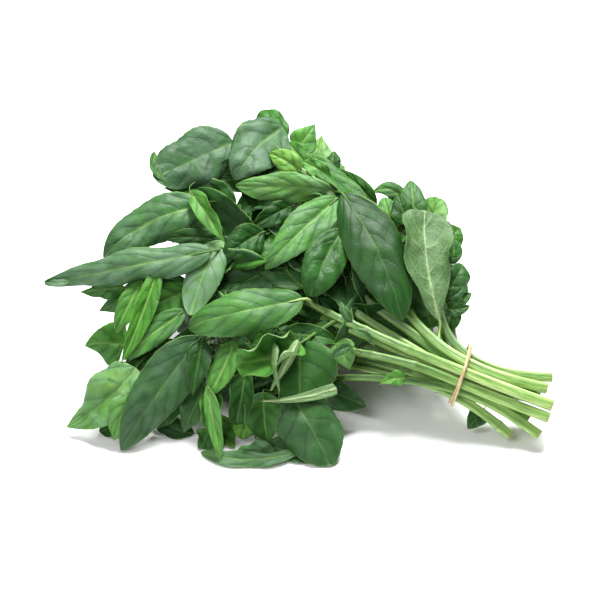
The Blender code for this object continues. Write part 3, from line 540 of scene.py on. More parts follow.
def solidTree(node):
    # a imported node, in the grid's millimetres, for asking how near a place is to it
    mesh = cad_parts[node].data
    corners = np.array([v.co[:] for v in mesh.vertices]) / mm - view["gridShift"]
    mesh.calc_loop_triangles()
    return BVHTree.FromPolygons(corners.tolist(), [tuple(t.vertices) for t in mesh.loop_triangles])


# How near a leaf's tip, middle and upper corners have to be to a solid, and how many of the corners.
match = {"tip": 0.7, "middle": 1.5, "corner": 0.05, "corners": 0.6}


def chosenLeaf(choices, trees):
    # the one of a leaf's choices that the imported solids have
    for choice in choices:
        stem, points, width, facing, fold = choice

        def near(point, most):
            return trees[stem].find_nearest(point.tolist(), most)[0] is not None

        if near(points[-1], match["tip"]) and near(points[2], match["middle"]):
            corners = solidLeafTops(points, width, facing, fold)
            met = sum(near(corner, match["corner"]) for corner in corners)
            if corners and met >= match["corners"] * len(corners):
                return choice
    return None


def layOut(lines):
    # every leaf of the solids: its name, stem and form
    trees = {name: solidTree("leafy_stem_" + name) for name in lines}
    leaves = [(name, chosenLeaf(frontChoices(lines, name), trees)) for name in frontLeaves]
    leaves += [(name, chosenLeaf(restChoices(lines, name), trees)) for name in restLeaves]
    for k, (stem, places) in enumerate(innerLeaves(lines)):
        leaves.append((f"inner{k}", chosenLeaf([(stem, *place) for place in places], trees)))
    draw = random.Random(innerRule["seed"] + 1)
    for k in range(skinRule["draws"]):
        leaves.append((f"skin{k}", chosenLeaf(skinChoices(lines, draw), trees)))
    found = [(name, leaf) for name, leaf in leaves if leaf is not None]
    missing = [name for name, leaf in leaves if leaf is None and name in frontLeaves]
    print("leaves found", len(found), "missing", missing)
    return found


# Fine leaves: a sheet for each leaf, which the relief tree turns into a quilted, veined blade.
# Each half of a blade is a line that bends as it runs out from the midrib: first by its fold, then
# by its roll towards the edge and by waves along the leaf. Angles are in radians, up is positive.
blade = {"large": (56, 37), "small": (36, 23), "fill": (24, 15), "smallUnder": 15,
         "toothDepth": 0.056, "teeth": 11, "baseHalf": 0.55, "quilt": 0.00034, "veinDepth": 0.00018,
         "ribHeight": 0.00055, "thickness": 0.00034, "pairEvery": 12.0, "pairs": (3.6, 6.0),
         "seenWidth": 1.04, "mostWiden": 1.4, "pointedUnder": 14, "pointed": 1.2, "smallWiden": 1.2,
         "base": 0.68, "tip": 0.98, "curlFrom": 0.72, "twistFrom": 0.3, "levelled": 0.45}
# How far each blade stays inside the solids' box: left, front, below, and right, back, above.
boxMargins = (0.7, 0.7, 1.25), (0.7, 0.7, 0.9)
# What leaves without a habit of their own are drawn from.
habit = {"fold": (0.08, 0.5), "roll": (-1.3, 0.45), "wave": (0.3, 0.95), "waves": (1.0, 2.4),
         "tipCurl": (-0.3, 1.1), "twist": (-0.55, 0.55)}


def fineWidth(share, base, tip):
    # how wide a blade is along its length, 1 at its widest; smaller powers give fuller ends
    widest = base / (base + tip)
    return share**base * (1 - share) ** tip / (widest**base * (1 - widest) ** tip)


def leafHabit(name, fold, draw):
    # how one leaf folds, rolls, waves, curls its tip and twists; named leaves have their own
    form = {key: draw.uniform(*span) for key, span in habit.items()}
    form["fold"] = (max(form["fold"], fold),) * 2
    form["roll"] = [form["roll"] + draw.uniform(-0.3, 0.3) for _ in range(2)]
    form["shifts"] = draw.uniform(0, 1), draw.uniform(0, 1)
    form["base"] = blade["base"] * draw.uniform(0.8, 1.15)
    form["tip"] = blade["tip"] * draw.uniform(0.8, 1.25)
    form["widen"], form["forward"], form["relief"] = 1, 0, draw.uniform(0.35, 1.2)
    for key, own in leafHabits.get(name, {}).items():
        if key in ("fold", "roll"):
            own = [drawn if mine is None else mine for drawn, mine in zip(form[key], own)]
        form[key] = own
    return form


# Leaves whose blades lie a little otherwise than their solids: base, middle, tip, width and inset.
fineLines = {
    "roundTop": ((283, 127), (257, 147), (236, 178), 27, 3),
    "topLeftGrey": ((234, 142), (193, 160), (154, 178), 28, 2),
    "bottomLeft": ((136, 368), (104, 402), (68, 427), 27, -1),
    "lowerDark": ((300, 341), (300, 371), (300, 403), 36, -1),
}


def bentHalf(form, side, along, half, out):
    # one half of a blade, side 0 left or 1 right: how far out and how high it is over the middle line
    opened = np.sin(math.pi * np.clip(along * 1.08, 0, 1)) ** 0.5
    wave = form["wave"] * np.sin(2 * math.pi * (along * form["waves"] + form["shifts"][side]))
    angle = form["fold"][side] * (0.35 + 0.65 * opened[:, None]) * np.ones(len(out))
    angle = angle + np.outer(form["roll"][side] * opened, out**1.4) + np.outer(wave * opened, out**1.8)
    middle = (angle[:, 1:] + angle[:, :-1]) / 2
    seenShare = (np.cos(middle[len(along) // 2]) * np.diff(out)).cumsum().max()
    step = np.diff(out) * half[:, None] * min(blade["mostWiden"], blade["seenWidth"] / max(seenShare, 0.1))
    return [np.pad(np.cumsum(bend(middle) * step, axis=1), ((0, 0), (1, 0))) for bend in (np.cos, np.sin)]


def middleLine(points, width, facing, along, form):
    # a blade's middle line, with its tip curl and twist: places, sides, normals and length
    rows = len(along)
    first, stations, centres, tangents, normals = solidLeafFrames(points, width, facing)
    fine, run = bladeRun(points, along * leafRule["bladeSamples"])
    long = lengthOf(fine)
    start = int(np.argmin(np.abs(along - stations[max(0, len(centres) // 2 + 1 - first)])))
    up = framesAlong(fine, run, facing, start)
    tipShare = np.clip((along - blade["curlFrom"]) / (1 - blade["curlFrom"]), 0, 1)
    dip = np.cumsum(np.sin(form["tipCurl"] * tipShare**1.5)) * long / rows
    fine = fine - up * dip[:, None]
    side = np.cross(run, up)
    turn = form["twist"] * (along - blade["twistFrom"])[:, None]
    side, up = side * np.cos(turn) + up * np.sin(turn), up * np.cos(turn) - side * np.sin(turn)
    return fine + towards * form["forward"], side, up, long


def leafSheet(name, leaf, draw):
    # a grid of points for one blade, with the attributes that the relief reads
    stem, points, width, facing, fold = leaf
    if name in fineLines:
        base, middle, tip, width, inset = fineLines[name]
        points = [points[0], *heapLine(base, middle, tip, inset)]
    size = "small" if width < blade["smallUnder"] else "large"
    rows, columns = blade["fill" if name.startswith("fill") else size]
    form = leafHabit(name, fold, draw)
    if width < blade["pointedUnder"] and name not in leafHabits:
        form["tip"] = form["tip"] * blade["pointed"]
        form["widen"] = blade["smallWiden"] if name in frontLeaves else 1
    seed = draw.uniform(0, 100)
    along = np.linspace(0, 1, rows) ** 0.95
    out = np.linspace(0, 1, columns // 2 + 1) ** 1.2
    across = np.concatenate([-out[:0:-1], out])
    fine, side, up, long = middleLine(points, width, facing, along, form)
    half = width / 2 * form["widen"] * fineWidth(along, form["base"], form["tip"])
    half = np.maximum(half, blade["baseHalf"] * (1 - along) ** 2)
    tooth = 1 + blade["toothDepth"] * np.outer(np.abs(np.mod(along * blade["teeth"], 1) - 0.4), out**6)
    (leftFar, leftLift), (rightFar, rightLift) = (bentHalf(form, i, along, half, out) for i in (0, 1))
    far = np.concatenate([-(leftFar * tooth)[:, :0:-1], rightFar * tooth], axis=1)
    lift = np.concatenate([leftLift[:, :0:-1], rightLift], axis=1)
    lift = lift - blade["levelled"] * lift.mean(axis=1)[:, None]
    place = fine[:, None, :] + side[:, None, :] * far[:, :, None] + up[:, None, :] * lift[:, :, None]
    low, high = np.array(cadBox) / mm + (boxMargins[0], np.negative(boxMargins[1]))
    place = np.clip(place + view["gridShift"], low, high) * mm
    normal = np.cross(np.gradient(place, axis=1), np.gradient(place, axis=0))
    normal *= np.sign((normal * up[:, None, :]).sum(axis=(1, 2)).sum())
    normal /= np.maximum(np.linalg.norm(normal, axis=2), 1e-12)[:, :, None]
    normal[0], normal[-1] = up[0], up[-1]
    index = np.arange(place[..., 0].size).reshape(rows, len(across))
    faces = np.stack([index[:-1, :-1], index[:-1, 1:], index[1:, 1:], index[1:, :-1]], axis=-1)
    tone, grey = leafLook(name, draw)
    fewest, most = blade["pairs"]
    looks = {"leafAlong": along[:, None], "leafAcross": across, "leafHalf": half[:, None] * mm,
             "leafSeed": seed, "leafTone": tone, "leafPaintedSheen": grey, "leafRelief": form["relief"],
             "leafPairs": min(max(long / blade["pairEvery"], fewest), most)}
    sheet = {key: (np.ones(index.shape) * value).ravel() for key, value in looks.items()}
    return {"place": place.reshape(-1, 3), "faces": faces.reshape(-1, 4), "leafUp": normal.reshape(-1, 3),
            **sheet}


def leafLook(name, draw):
    # tone 0 dark to 1 light yellow green, and how much painted grey sheen it has; fill, inner and back
    # leaves get lower tones, painted shade deep in the heap
    tone, grey = draw.uniform(0.12, 0.42), draw.uniform(0, 0.3)
    if name.startswith("fillBack") or name.startswith("skin"):
        tone = draw.uniform(0.07, 0.40)
    elif name.startswith("fill"):
        tone, grey = draw.uniform(0.0, 0.15), draw.uniform(0, 0.1)
    elif name.startswith("inner"):
        tone = draw.uniform(0.0, 0.2)
    return leafTones.get(name, (tone, grey))


# How the named leaves differ from what is drawn for them: the pairs are left and right, and None
# there is as drawn.
leafHabits = {
    "centreFront": {"fold": (0.3, 0.1), "roll": (-0.9, -1.2), "wave": 0.4, "waves": 1.3, "tipCurl": 1.2,
        "twist": 0.2, "shifts": (0.1, 0.6), "base": 0.55, "tip": 0.7},
    "largestDark": {"fold": (0.05, 0.05), "roll": (-0.5, -0.7), "wave": 0.25, "waves": 1.2,
        "tipCurl": 0.1, "twist": 0.25, "base": 0.7, "tip": 0.8, "relief": 0.15},
    "frontLong": {"fold": (0.5, 0.2), "base": 0.8, "tip": 0.7, "wave": 0.8, "waves": 2.2, "twist": 0.4,
        "tipCurl": 0.3},
    "tallYellow": {"fold": (0.8, 0.3), "base": 0.7, "tip": 1.0, "wave": 0.5, "waves": 1.6},
    "longestTip": {"roll": (-1.0, -1.6), "base": 0.4, "tip": 0.35, "wave": 0.2, "tipCurl": 0.0},
    "longestLeft": {"fold": (0.1, 0.15), "roll": (-1.5, -1.4), "wave": 0.55, "waves": 2.4,
        "tipCurl": -0.5, "twist": 1.0, "base": 0.5, "tip": 0.82, "relief": 0.7},
    "longLowerLeft": {"fold": (0.3, 0.22), "roll": (-1.0, -1.0), "wave": 0.3, "waves": 1.2,
        "tipCurl": 0.2, "twist": 0.15, "base": 0.6, "tip": 0.85},
    "bottomLeft": {"fold": (0.5, 0.5), "roll": (-1.3, -1.3), "wave": 0.75, "waves": 1.7, "tipCurl": -0.3,
        "twist": -0.3, "base": 0.45, "tip": 1.05, "shifts": (0.15, 0.45), "relief": 1.6},
    "bottomFront": {"fold": (0.15, 0.12), "roll": (-1.0, -0.8), "wave": 0.35, "waves": 1.3,
        "tipCurl": 0.8, "twist": 0.0, "base": 0.6, "tip": 0.8, "widen": 0.95, "relief": 0.6},
    "lowerDark": {"fold": (0.25, 0.1), "roll": (-0.3, 2.4), "wave": 0.3, "base": 0.5, "tip": 0.6},
    "cuppedLight": {"fold": (0.9, 0.5), "roll": (0.7, 1.7), "wave": 0.8, "waves": 1.8, "base": 0.5,
        "tip": 0.6},
    "paleUnderside": {"fold": (-0.1, -0.6), "roll": (-0.8, -0.6), "wave": 0.5, "base": 0.9, "tip": 0.38,
        "tipCurl": 0.2},
    "topLeftGrey": {"fold": (0.15, 0.2), "roll": (-1.1, -0.9), "wave": 0.4, "waves": 1.6, "tipCurl": -0.6,
        "base": 0.45, "tip": 0.55, "relief": 0.8},
    "roundTop": {"fold": (0.2, 0.15), "roll": (-1.0, -0.9), "wave": 0.5, "waves": 1.8, "tipCurl": 0.9,
        "twist": -0.3, "base": 0.45, "tip": 0.75, "relief": 0.7},
    "upperLeft": {"fold": (0.15, 0.25), "roll": (-1.2, -1.0), "wave": 0.35, "waves": 1.4, "tipCurl": 0.8},
    "lightMiddle": {"fold": (0.35, 0.3), "roll": (-0.7, -1.0), "wave": 0.4, "waves": 1.6, "base": 0.55,
        "tip": 0.8},
    "veinedMiddle": {"fold": (0.35, 0.35), "roll": (-1.1, -1.1), "wave": 0.15, "base": 0.6, "tip": 0.6},
    "yellowEdged": {"fold": (0.7, 0.2), "widen": 1.5, "wave": 0.5, "tip": 1.1},
    "oliveHanging": {"fold": (0.5, 0.7), "roll": (-0.3, None), "widen": 1.35, "wave": 0.4},
    "paleNarrow": {"fold": (0.8, 0.3), "widen": 1.5, "wave": 0.4},
    "narrowOlive": {"fold": (0.6, 0.6), "widen": 1.5, "wave": 0.3},
    "smallLower": {"widen": 1.5, "wave": 0.7},
    "frontPale": {"widen": 1.5, "wave": 0.6, "tip": 0.7, "twist": 0.4},
    "yellowSmall": {"fold": (0.6, 0.3), "widen": 1.5},
    "frontThin": {"fold": (0.7, 0.1), "widen": 1.6, "wave": 0.5, "forward": 3},
    "centreHanging": {"fold": (0.6, 0.35), "roll": (-1.0, None), "wave": 0.3, "tip": 0.9},
    "leftSlanting": {"fold": (0.3, 0.5), "wave": 0.3, "tip": 1.0},
    "leftHanging": {"fold": (0.7, 0.6), "roll": (-0.4, -0.6), "wave": 0.3, "waves": 1.2, "twist": 0.5,
        "tip": 0.9},
    "leftHangingBack": {"fold": (0.5, 0.4), "wave": 0.3, "tip": 0.9},
    "greyLeft": {"fold": (0.15, 0.15), "roll": (-0.8, -0.8), "wave": 0.2, "base": 0.6, "tip": 0.7,
        "forward": 5, "relief": 0.3},
    "leftBright": {"fold": (0.2, 0.2), "roll": (-0.5, -0.5), "wave": 0.4, "base": 0.35, "tip": 1.5,
        "widen": 1.25},
    "topPale": {"base": 0.5, "tip": 1.7, "wave": 0.3, "widen": 1.3, "tipCurl": 0.0},
    "topPoint": {"base": 0.5, "tip": 1.6, "wave": 0.3, "widen": 1.2, "tipCurl": 0.0},
    "nodeLeafLow": {"fold": (0.2, 0.2), "roll": (-0.2, -0.2), "wave": 0.15, "tipCurl": 0.1, "twist": 0.0},
    "topMiddlePale": {"base": 0.7, "tip": 1.2, "widen": 1.1}, "rightPoint": {"base": 0.6, "tip": 1.15},
    "rightBacklit": {"base": 0.6, "tip": 1.15, "wave": 0.3}, "rightCluster": {"tip": 1.2, "widen": 1.1},
    "behindRoundTop": {"base": 0.6, "tip": 0.5, "wave": 0.5},
    "lowerFold": {"fold": (0.0, 0.0), "roll": (-0.4, -0.1), "wave": 0.25, "base": 0.9, "tip": 0.1,
        "twist": 0.1, "relief": 0.4, "tipCurl": 0.0},
    "curlStrip": {"fold": (0.3, 0.3), "roll": (-0.5, -0.5), "wave": 0.4, "base": 0.4, "tip": 0.7},
    "upperMiddle": {"fold": (0.2, 0.2), "roll": (-0.9, -1.2), "wave": 0.6, "waves": 2.0},
}

# A leaf's tone, 0 dark to 1 light, partly its own colour and partly painted light and shade for where it
# lies in the heap (the dark, shade and shadow leaves are painted shade), and how much painted grey sheen it
# has.
leafTones = {
    "centreFront": (0.36, 0.2), "largestDark": (0.02, 0.0), "longestLeft": (0.3, 0.7),
    "longLowerLeft": (0.1, 0.3), "bottomLeft": (0.6, 0.6), "bottomFront": (0.16, 0.2),
    "lowerDark": (0.2, 0.0), "cuppedLight": (0.5, 0.1), "paleUnderside": (-0.02, 0.2),
    "topLeftGrey": (0.1, 0.45), "roundTop": (0.16, 0.6), "upperLeft": (0.26, 0.4),
    "lightMiddle": (0.46, 0.35), "veinedMiddle": (0.2, 0.05), "greyLeft": (0.5, 0.9),
    "upperMiddle": (0.58, 0.55), "foldedStrip": (0.4, 0.2), "leftHanging": (0.44, 0.0),
    "narrowUpperLeft": (0.5, 0.1), "leftSlanting": (0.4, 0.2), "centreHanging": (0.48, 0.15),
    "leftHangingBack": (0.42, 0.1), "leftBright": (0.48, 0.1), "yellowEdged": (0.62, 0.1),
    "yellowSmall": (0.68, 0.1), "palePiece": (0.6, 0.45), "frontPale": (0.5, 0.7),
    "oliveHanging": (0.36, 0.1), "behindRoundTop": (0.34, 0.1), "topPale": (0.66, 0.55),
    "topPoint": (0.5, 0.2), "topMiddlePale": (0.7, 0.2), "rightBacklit": (0.66, 0.5),
    "rightCluster": (0.6, 0.2), "darkRound": (0.05, 0.0), "darkOlive": (0.08, 0.0),
    "darkBand": (0.03, 0.0), "darkStrip": (0.03, 0.0), "floorShadow": (0.05, 0.0),
    "darkInner": (0.02, 0.0), "darkLongInner": (0.02, 0.0), "rightPoint": (0.3, 0.3),
    "lowerFold": (0.15, 0.0), "curledTip": (0.28, 0.2), "gapShade": (0.03, 0.0),
    "gapShadeLow": (0.1, 0.0), "jointShade": (0.03, 0.0), "jointShadeTop": (0.05, 0.0),
    "notchLeaf": (0.42, 0.1), "notchLow": (0.6, 0.2), "frontLong": (0.34, 0.55), "tallYellow": (0.5, 0.2),
    "gapShadeTop": (0.03, 0.0), "longestTip": (0.12, 0.8), "lowerLobe": (0.58, 0.35),
    "belowLongest": (0.08, 0.1), "belowGrey": (0.1, 0.0), "topShade": (0.04, 0.0),
    "curlStrip": (0.4, 0.0), "shadeUpperLeft": (0.06, 0.0), "shadeUpper": (0.03, 0.0),
    "shadeBottomLeft": (0.1, 0.0), "lowStemLeaf": (0.6, 0.1), "underBundle": (0.15, 0.2),
}


# Folded edges and small leaves that only the scene has, in the same form as the front leaves. The dark ones
# (the shade leaves, belowLongest and belowGrey) fill gaps with painted shade.
sceneLeaves = {
    "curledTip": ((163, 180), (155, 167), (156, 150), 6, -1, 20, 0.6),
    "gapShade": ((214, 240), (188, 237), (160, 240), 9, 6, 0, 0.2),
    "gapShadeLow": ((150, 352), (132, 366), (112, 372), 10, 6, 0, 0.2),
    "topShade": ((262, 170), (243, 168), (224, 176), 10, 9, 0, 0.2),
    "lowerFold": ((262, 401), (300, 398), (337, 388), 6, -6, 168, 0.1),
    "notchLeaf": ((312, 172), (298, 155), (286, 140), 10, 9, 0, 0.2),
    "notchLow": ((330, 176), (316, 168), (300, 160), 9, 5, 0, 0.3),
    "jointShade": ((238, 247), (227, 243), (214, 236), 8, 9, 0, 0.2),
    "jointShadeTop": ((352, 203), (341, 198), (328, 190), 8, 8, 0, 0.2),
    "frontLong": ((304, 449), (258, 459), (199, 451), 9, -1, 20, 0.3),
    "tallYellow": ((207, 386), (214, 424), (221, 462), 7, -2, -10, 0.3),
    "gapShadeTop": ((224, 238), (206, 228), (188, 224), 9, 6, 0, 0.2),
    "lowerLobe": ((131, 394), (121, 418), (114, 441), 13, -4, 0, 0.3),
    "longestTip": ((68, 281), (57, 283), (46, 280), 5, -5, 20, 0.5),
    "belowLongest": ((190, 284), (154, 284), (118, 290), 11, 7, 0, 0.2),
    "belowGrey": ((214, 330), (192, 335), (168, 342), 10, 6, 0, 0.2),
    "curlStrip": ((298, 340), (285, 366), (270, 390), 5, -8, 160, 0.2),
    "nodeLeafHigh": ((352, 322), (345, 312), (341, 300), 5, -4, 10, 0.3),
    "nodeLeafLow": ((352, 346), (341, 350), (331, 358), 5, -6, 0, 0.3),
    "stemSide": ((372, 342), (362, 333), (349, 329), 4, -3, 20, 0.3),
}


def sceneLeaf(lines, name):
    base, middle, tip, width, inset, roll, fold = sceneLeaves[name]
    line = heapLine(base, middle, tip, inset)
    stem, root = nearestRoots(lines, line[0], unit(line[1] - line[0]))[0]
    return stem, [root, *line], width, around(towards, line[2] - line[0], roll), fold


# Fill: darker leaves behind the front ones, wherever the heap would show the floor through it; their dark
# tones are painted shade inside the heap.
# probes are places in a fill leaf, along and across it, that have to be in the heap's outline.
fill = {"cell": 3, "most": 120, "lengths": (42, 34, 26, 19, 14), "swings": (0, 35, -35, 70, -70, 120, 180),
        "inset": (7, 20), "turns": (-12, 12), "tipInset": (-2, 4), "baseInset": (0, 6), "rolls": (-30, 30),
        "widths": (0.44, 0.52), "fold": 0.1, "backLeaves": 60, "seed": 31, "leastTurns": 1,
        "edgeCells": 3, "longestStalk": 20,
        "probes": ((1, 0), (0.6, 0.3), (0.6, -0.3), (0, 0.45), (0, -0.45), (-0.6, 0.3), (-0.6, -0.3))}


def coverCells(covered, places):
    cells = (places // fill["cell"]).astype(int)
    cells = cells[((cells >= 0) & (cells < len(covered))).all(axis=1)]
    covered[cells[:, 0], cells[:, 1]] = True


def coverLeaf(covered, name, leaf):
    sheet = leafSheet(name, leaf, random.Random(name))
    coverCells(covered, gridPlaces(sheet["place"] / mm - view["gridShift"]))


def thinned(cells):
    thin = cells.copy()
    for axis in (0, 1):
        for way in (1, -1):
            thin &= np.roll(cells, way, axis=axis)
    return thin


def widestGap(gaps):
    # thins the gaps cell by cell and gives a cell of the last that stays, with how often it was thinned
    last, turns = gaps, 0
    while True:
        thin = thinned(last)
        if not thin.any():
            return np.argwhere(last)[0], turns
        last, turns = thin, turns + 1


def fillChoice(lines, column, row, draw):
    # a leaf whose middle is behind that place of the front view and which stays in the heap's outline
    inset = draw.uniform(*fill["inset"])
    middle = inHeap(column, row, inset)
    heading = math.atan2(bandRow - row, column - bandColumn)
    for length in fill["lengths"]:
        for swing in fill["swings"]:
            turn = heading + math.radians(swing + draw.uniform(*fill["turns"]))
            dx, dy = math.cos(turn), -math.sin(turn)
            reach = length / view["square"] / 2
            tip = inHeap(column + dx * reach, row + dy * reach, inset + draw.uniform(*fill["tipInset"]))
            base = inHeap(column - dx * reach, row - dy * reach, inset + draw.uniform(*fill["baseInset"]))
            inside = [insideOutline(column + dx * reach * s - dy * reach * w,
                                    row + dy * reach * s + dx * reach * w) for s, w in fill["probes"]]
            if all(inside):
                facing = around(towards, tip - base, draw.uniform(*fill["rolls"]))
                stem, root = nearestRoots(lines, base, unit(middle - base))[0]
                width = length * draw.uniform(*fill["widths"])
                return stem, [root, base, middle, tip], width, facing, fill["fold"]
    return None


def fillLeaves(lines, found):
    draw = random.Random(fill["seed"])
    count = int(2 * view["middle"] / fill["cell"])
    covered = np.zeros((count, count), bool)
    for name, leaf in found:
        coverLeaf(covered, name, leaf)
    for line in lines.values():
        coverCells(covered, gridPlaces(curveThrough(line, 200)))
    middles = [[((x + 0.5) * fill["cell"], (y + 0.5) * fill["cell"]) for y in range(count)]
               for x in range(count)]
    open_ = np.array([[insideOutline(*place) for place in column] for column in middles])
    for _ in range(fill["edgeCells"]):
        open_ = thinned(open_)
    made = []
    while len(made) < fill["most"]:
        gaps = open_ & ~covered
        if not gaps.any():
            break
        cell, turns = widestGap(gaps)
        if turns < fill["leastTurns"]:
            break
        leaf = fillChoice(lines, *middles[cell[0]][cell[1]], draw)
        open_[tuple(cell)] = False
        if leaf is not None:
            name = f"fill{len(made)}"
            made.append((name, leaf))
            coverLeaf(covered, name, leaf)
    print("fill leaves", len(made))
    back = 0
    while back < fill["backLeaves"]:
        choices = [leaf for leaf in skinChoices(lines, draw)
                   if np.linalg.norm(leaf[1][1] - leaf[1][0]) < fill["longestStalk"]]
        if choices:
            made.append((f"fillBack{back}", choices[0]))
            back += 1
    return made


def meshOf(name, sheets):
    # one mesh of many sheets, or of many lines where they have no faces; the other keys are attributes
    mesh = bpy.data.meshes.new(name)
    starts = np.cumsum([0] + [len(s["place"]) for s in sheets[:-1]])
    faces, edges = ([tuple(int(v) for v in part + start) for s, start in zip(sheets, starts)
                     for part in s.get(key, ())] for key in ("faces", "edges"))
    mesh.from_pydata(np.vstack([s["place"] for s in sheets]).tolist(), edges, faces)
    for key in sheets[0]:
        if key not in ("place", "faces", "edges"):
            values = np.concatenate([np.asarray(s[key], float) for s in sheets])
            kind, way = ("FLOAT_VECTOR", "vector") if values.ndim == 2 else ("FLOAT", "value")
            mesh.attributes.new(key, kind, "POINT").data.foreach_set(way, values.ravel())
    return mesh


class Tree:
    # a node tree that is written as sums: each call adds a node, fills its sockets and gives its output
    def __init__(self, tree):
        self.nodes, self.links = tree.nodes, tree.links

    def join(self, source, socket):
        if isinstance(source, bpy.types.NodeSocket):
            self.links.new(source, socket)
        else:
            socket.default_value = source

    def put(self, kind, sources=(), **settings):
        # sources go to the node's first sockets in turn, or to those that a dictionary names
        node = self.nodes.new(kind)
        for key, value in settings.items():
            setattr(node, key, value)
        for socket, source in sources.items() if isinstance(sources, dict) else enumerate(sources):
            self.join(source, node.inputs[socket])
        return node

    def math(self, operation, *sources):
        return self.put("ShaderNodeMath", sources, operation=operation).outputs[0]

    def add(self, a, b):
        return self.math("ADD", a, b)

    def take(self, a, b):
        return self.math("SUBTRACT", a, b)

    def times(self, a, b):
        return self.math("MULTIPLY", a, b)

    def power(self, a, b):
        return self.math("POWER", a, b)

    def clamp(self, a):
        return self.put("ShaderNodeClamp", (a,)).outputs[0]

    def ramp(self, value, low, high, toLow=0.0, toHigh=1.0, smooth=True):
        ends = {"Value": value, "From Min": low, "From Max": high, "To Min": toLow, "To Max": toHigh}
        kind = "SMOOTHSTEP" if smooth else "LINEAR"
        return self.put("ShaderNodeMapRange", ends, interpolation_type=kind).outputs[0]

    def bell(self, value, width):
        # 1 at 0, falling to nothing over about twice the width
        ratio = self.math("DIVIDE", value, width)
        return self.math("EXPONENT", self.times(self.times(ratio, ratio), -1.0))

    def mix(self, share, under, over, blend="MIX"):
        sources = {0: share, 6: under, 7: (*over, 1)}
        return self.put("ShaderNodeMix", sources, data_type="RGBA", blend_type=blend).outputs[2]


def newTree(name, kind, inputs, outputs):
    # a node group with its sockets, the tree to write in, what it is given and what it gives
    group = bpy.data.node_groups.new(name, kind)
    for way, sockets in (("INPUT", inputs), ("OUTPUT", outputs)):
        for label, form in sockets.items():
            group.interface.new_socket(label, in_out=way, socket_type="NodeSocket" + form)
    t = Tree(group)
    return group, t, t.put("NodeGroupInput").outputs, t.put("NodeGroupOutput").inputs


def noiseAt(t, vector, scale, detail=2.0, rough=0.5):
    # without a vector, the noise is read at the point's own place
    sources = {"Scale": scale, "Detail": detail, "Roughness": rough}
    if vector is not None:
        sources["Vector"] = vector
    return t.put("ShaderNodeTexNoise", sources).outputs[0]


def noiseSwing(t, vector, scale, detail=2.0):
    # noise that swings about 0
    return t.take(noiseAt(t, vector, scale, detail), 0.5)


def hump(t, angle):
    # 0 at each whole turn, 1 half way between
    return t.add(0.5, t.times(t.math("COSINE", angle), -0.5))


def veinGap(t, phase):
    # how far it is to the nearest side vein
    return t.math("ABSOLUTE", t.take(t.math("FRACT", t.add(phase, 0.5)), 0.5))


def veinPhase(t, along, across, pairs, seed):
    # counts the side veins: whole numbers lie on a vein, which arcs out and forward from the rib
    edge = t.math("ABSOLUTE", across)
    sweep = t.times(edge, t.add(0.20, t.times(edge, 0.12)))
    sign = t.times(t.math("SIGN", across), 0.2)
    place = t.put("ShaderNodeCombineXYZ", (t.times(along, 3.0), t.times(across, 1.2), seed))
    shift = t.add(sign, t.times(noiseSwing(t, place.outputs[0], 1.0, 1.0), 0.9))
    return t.add(t.times(t.take(along, sweep), pairs), shift)


def makeReliefTree():
    # Geometry Nodes: sheet to closed blade, quilted between veins that sink into it, with a raised rib
    # below
    group, t, given, result = newTree("leafRelief", "GeometryNodeTree", {
        "Geometry": "Geometry", "Quilt Height": "Float", "Vein Depth": "Float", "Rib Height": "Float",
        "Thickness": "Float", "Upper Material": "Material", "Under Material": "Material"},
        {"Geometry": "Geometry"})

    def named(key, kind="FLOAT"):
        node = t.put("GeometryNodeInputNamedAttribute", {"Name": key}, data_type=kind)
        return node.outputs["Attribute"]

    along, across, half = named("leafAlong"), named("leafAcross"), named("leafHalf")
    up = named("leafUp", "FLOAT_VECTOR")
    edge = t.math("ABSOLUTE", across)
    ends = t.times(t.clamp(t.times(along, 25.0)), t.clamp(t.times(t.take(1.0, along), 22.0)))
    inside = t.times(t.take(1.0, t.power(edge, 5.0)), ends)
    size = t.times(t.clamp(t.times(half, 120.0)), named("leafRelief"))
    phase = veinPhase(t, along, across, named("leafPairs"), named("leafSeed"))
    quilt = t.power(t.clamp(hump(t, t.times(phase, 2 * math.pi))), 0.55)
    quilt = t.times(t.times(quilt, t.ramp(edge, 0.02, 0.3)), t.times(inside, size))
    vein = t.times(t.bell(veinGap(t, phase), 0.075), t.times(inside, t.ramp(edge, 1.0, 0.5)))
    ribWidth = t.ramp(along, 0.0, 1.0, 0.0008, 0.0004, False)
    rib = t.times(t.bell(t.times(edge, half), ribWidth), inside)
    ribTall = t.times(given["Rib Height"], t.ramp(along, 0.0, 1.0, 1.0, 0.25, False))
    pucker = t.times(noiseSwing(t, None, 130.0), t.times(inside, 0.0026))
    broad = t.times(inside, t.clamp(t.times(half, 90.0)))
    sway = t.times(noiseSwing(t, None, 48.0, 1.0), t.times(broad, 0.0075))
    body = t.add(t.add(t.times(quilt, given["Quilt Height"]), t.times(pucker, size)), sway)
    upper = t.take(body, t.times(vein, given["Vein Depth"]))
    upper = t.take(upper, t.times(rib, t.times(ribTall, 0.35)))
    thick = t.times(given["Thickness"], t.clamp(t.times(inside, 3.0)))
    lower = t.take(t.take(body, thick), t.times(vein, t.times(given["Vein Depth"], 1.1)))
    lower = t.take(lower, t.times(rib, ribTall))

    def face(height, material, flip):
        lift = t.put("ShaderNodeVectorMath", {0: up, "Scale": height}, operation="SCALE").outputs[0]
        sheet = t.put("GeometryNodeSetPosition", {"Geometry": given["Geometry"], "Offset": lift})
        if flip:
            sheet = t.put("GeometryNodeFlipFaces", (sheet.outputs[0],))
        sources = {"Geometry": sheet.outputs[0], "Material": given[material]}
        return t.put("GeometryNodeSetMaterial", sources).outputs[0]

    both = t.put("GeometryNodeJoinGeometry")
    t.join(face(lower, "Under Material", True), both.inputs[0])
    t.join(face(upper, "Upper Material", False), both.inputs[0])
    weld = t.put("GeometryNodeMergeByDistance", {"Geometry": both.outputs[0], "Distance": 0.000012})
    smooth = t.put("GeometryNodeSetShadeSmooth", (weld.outputs[0],))
    t.join(smooth.outputs[0], result[0])
    return group


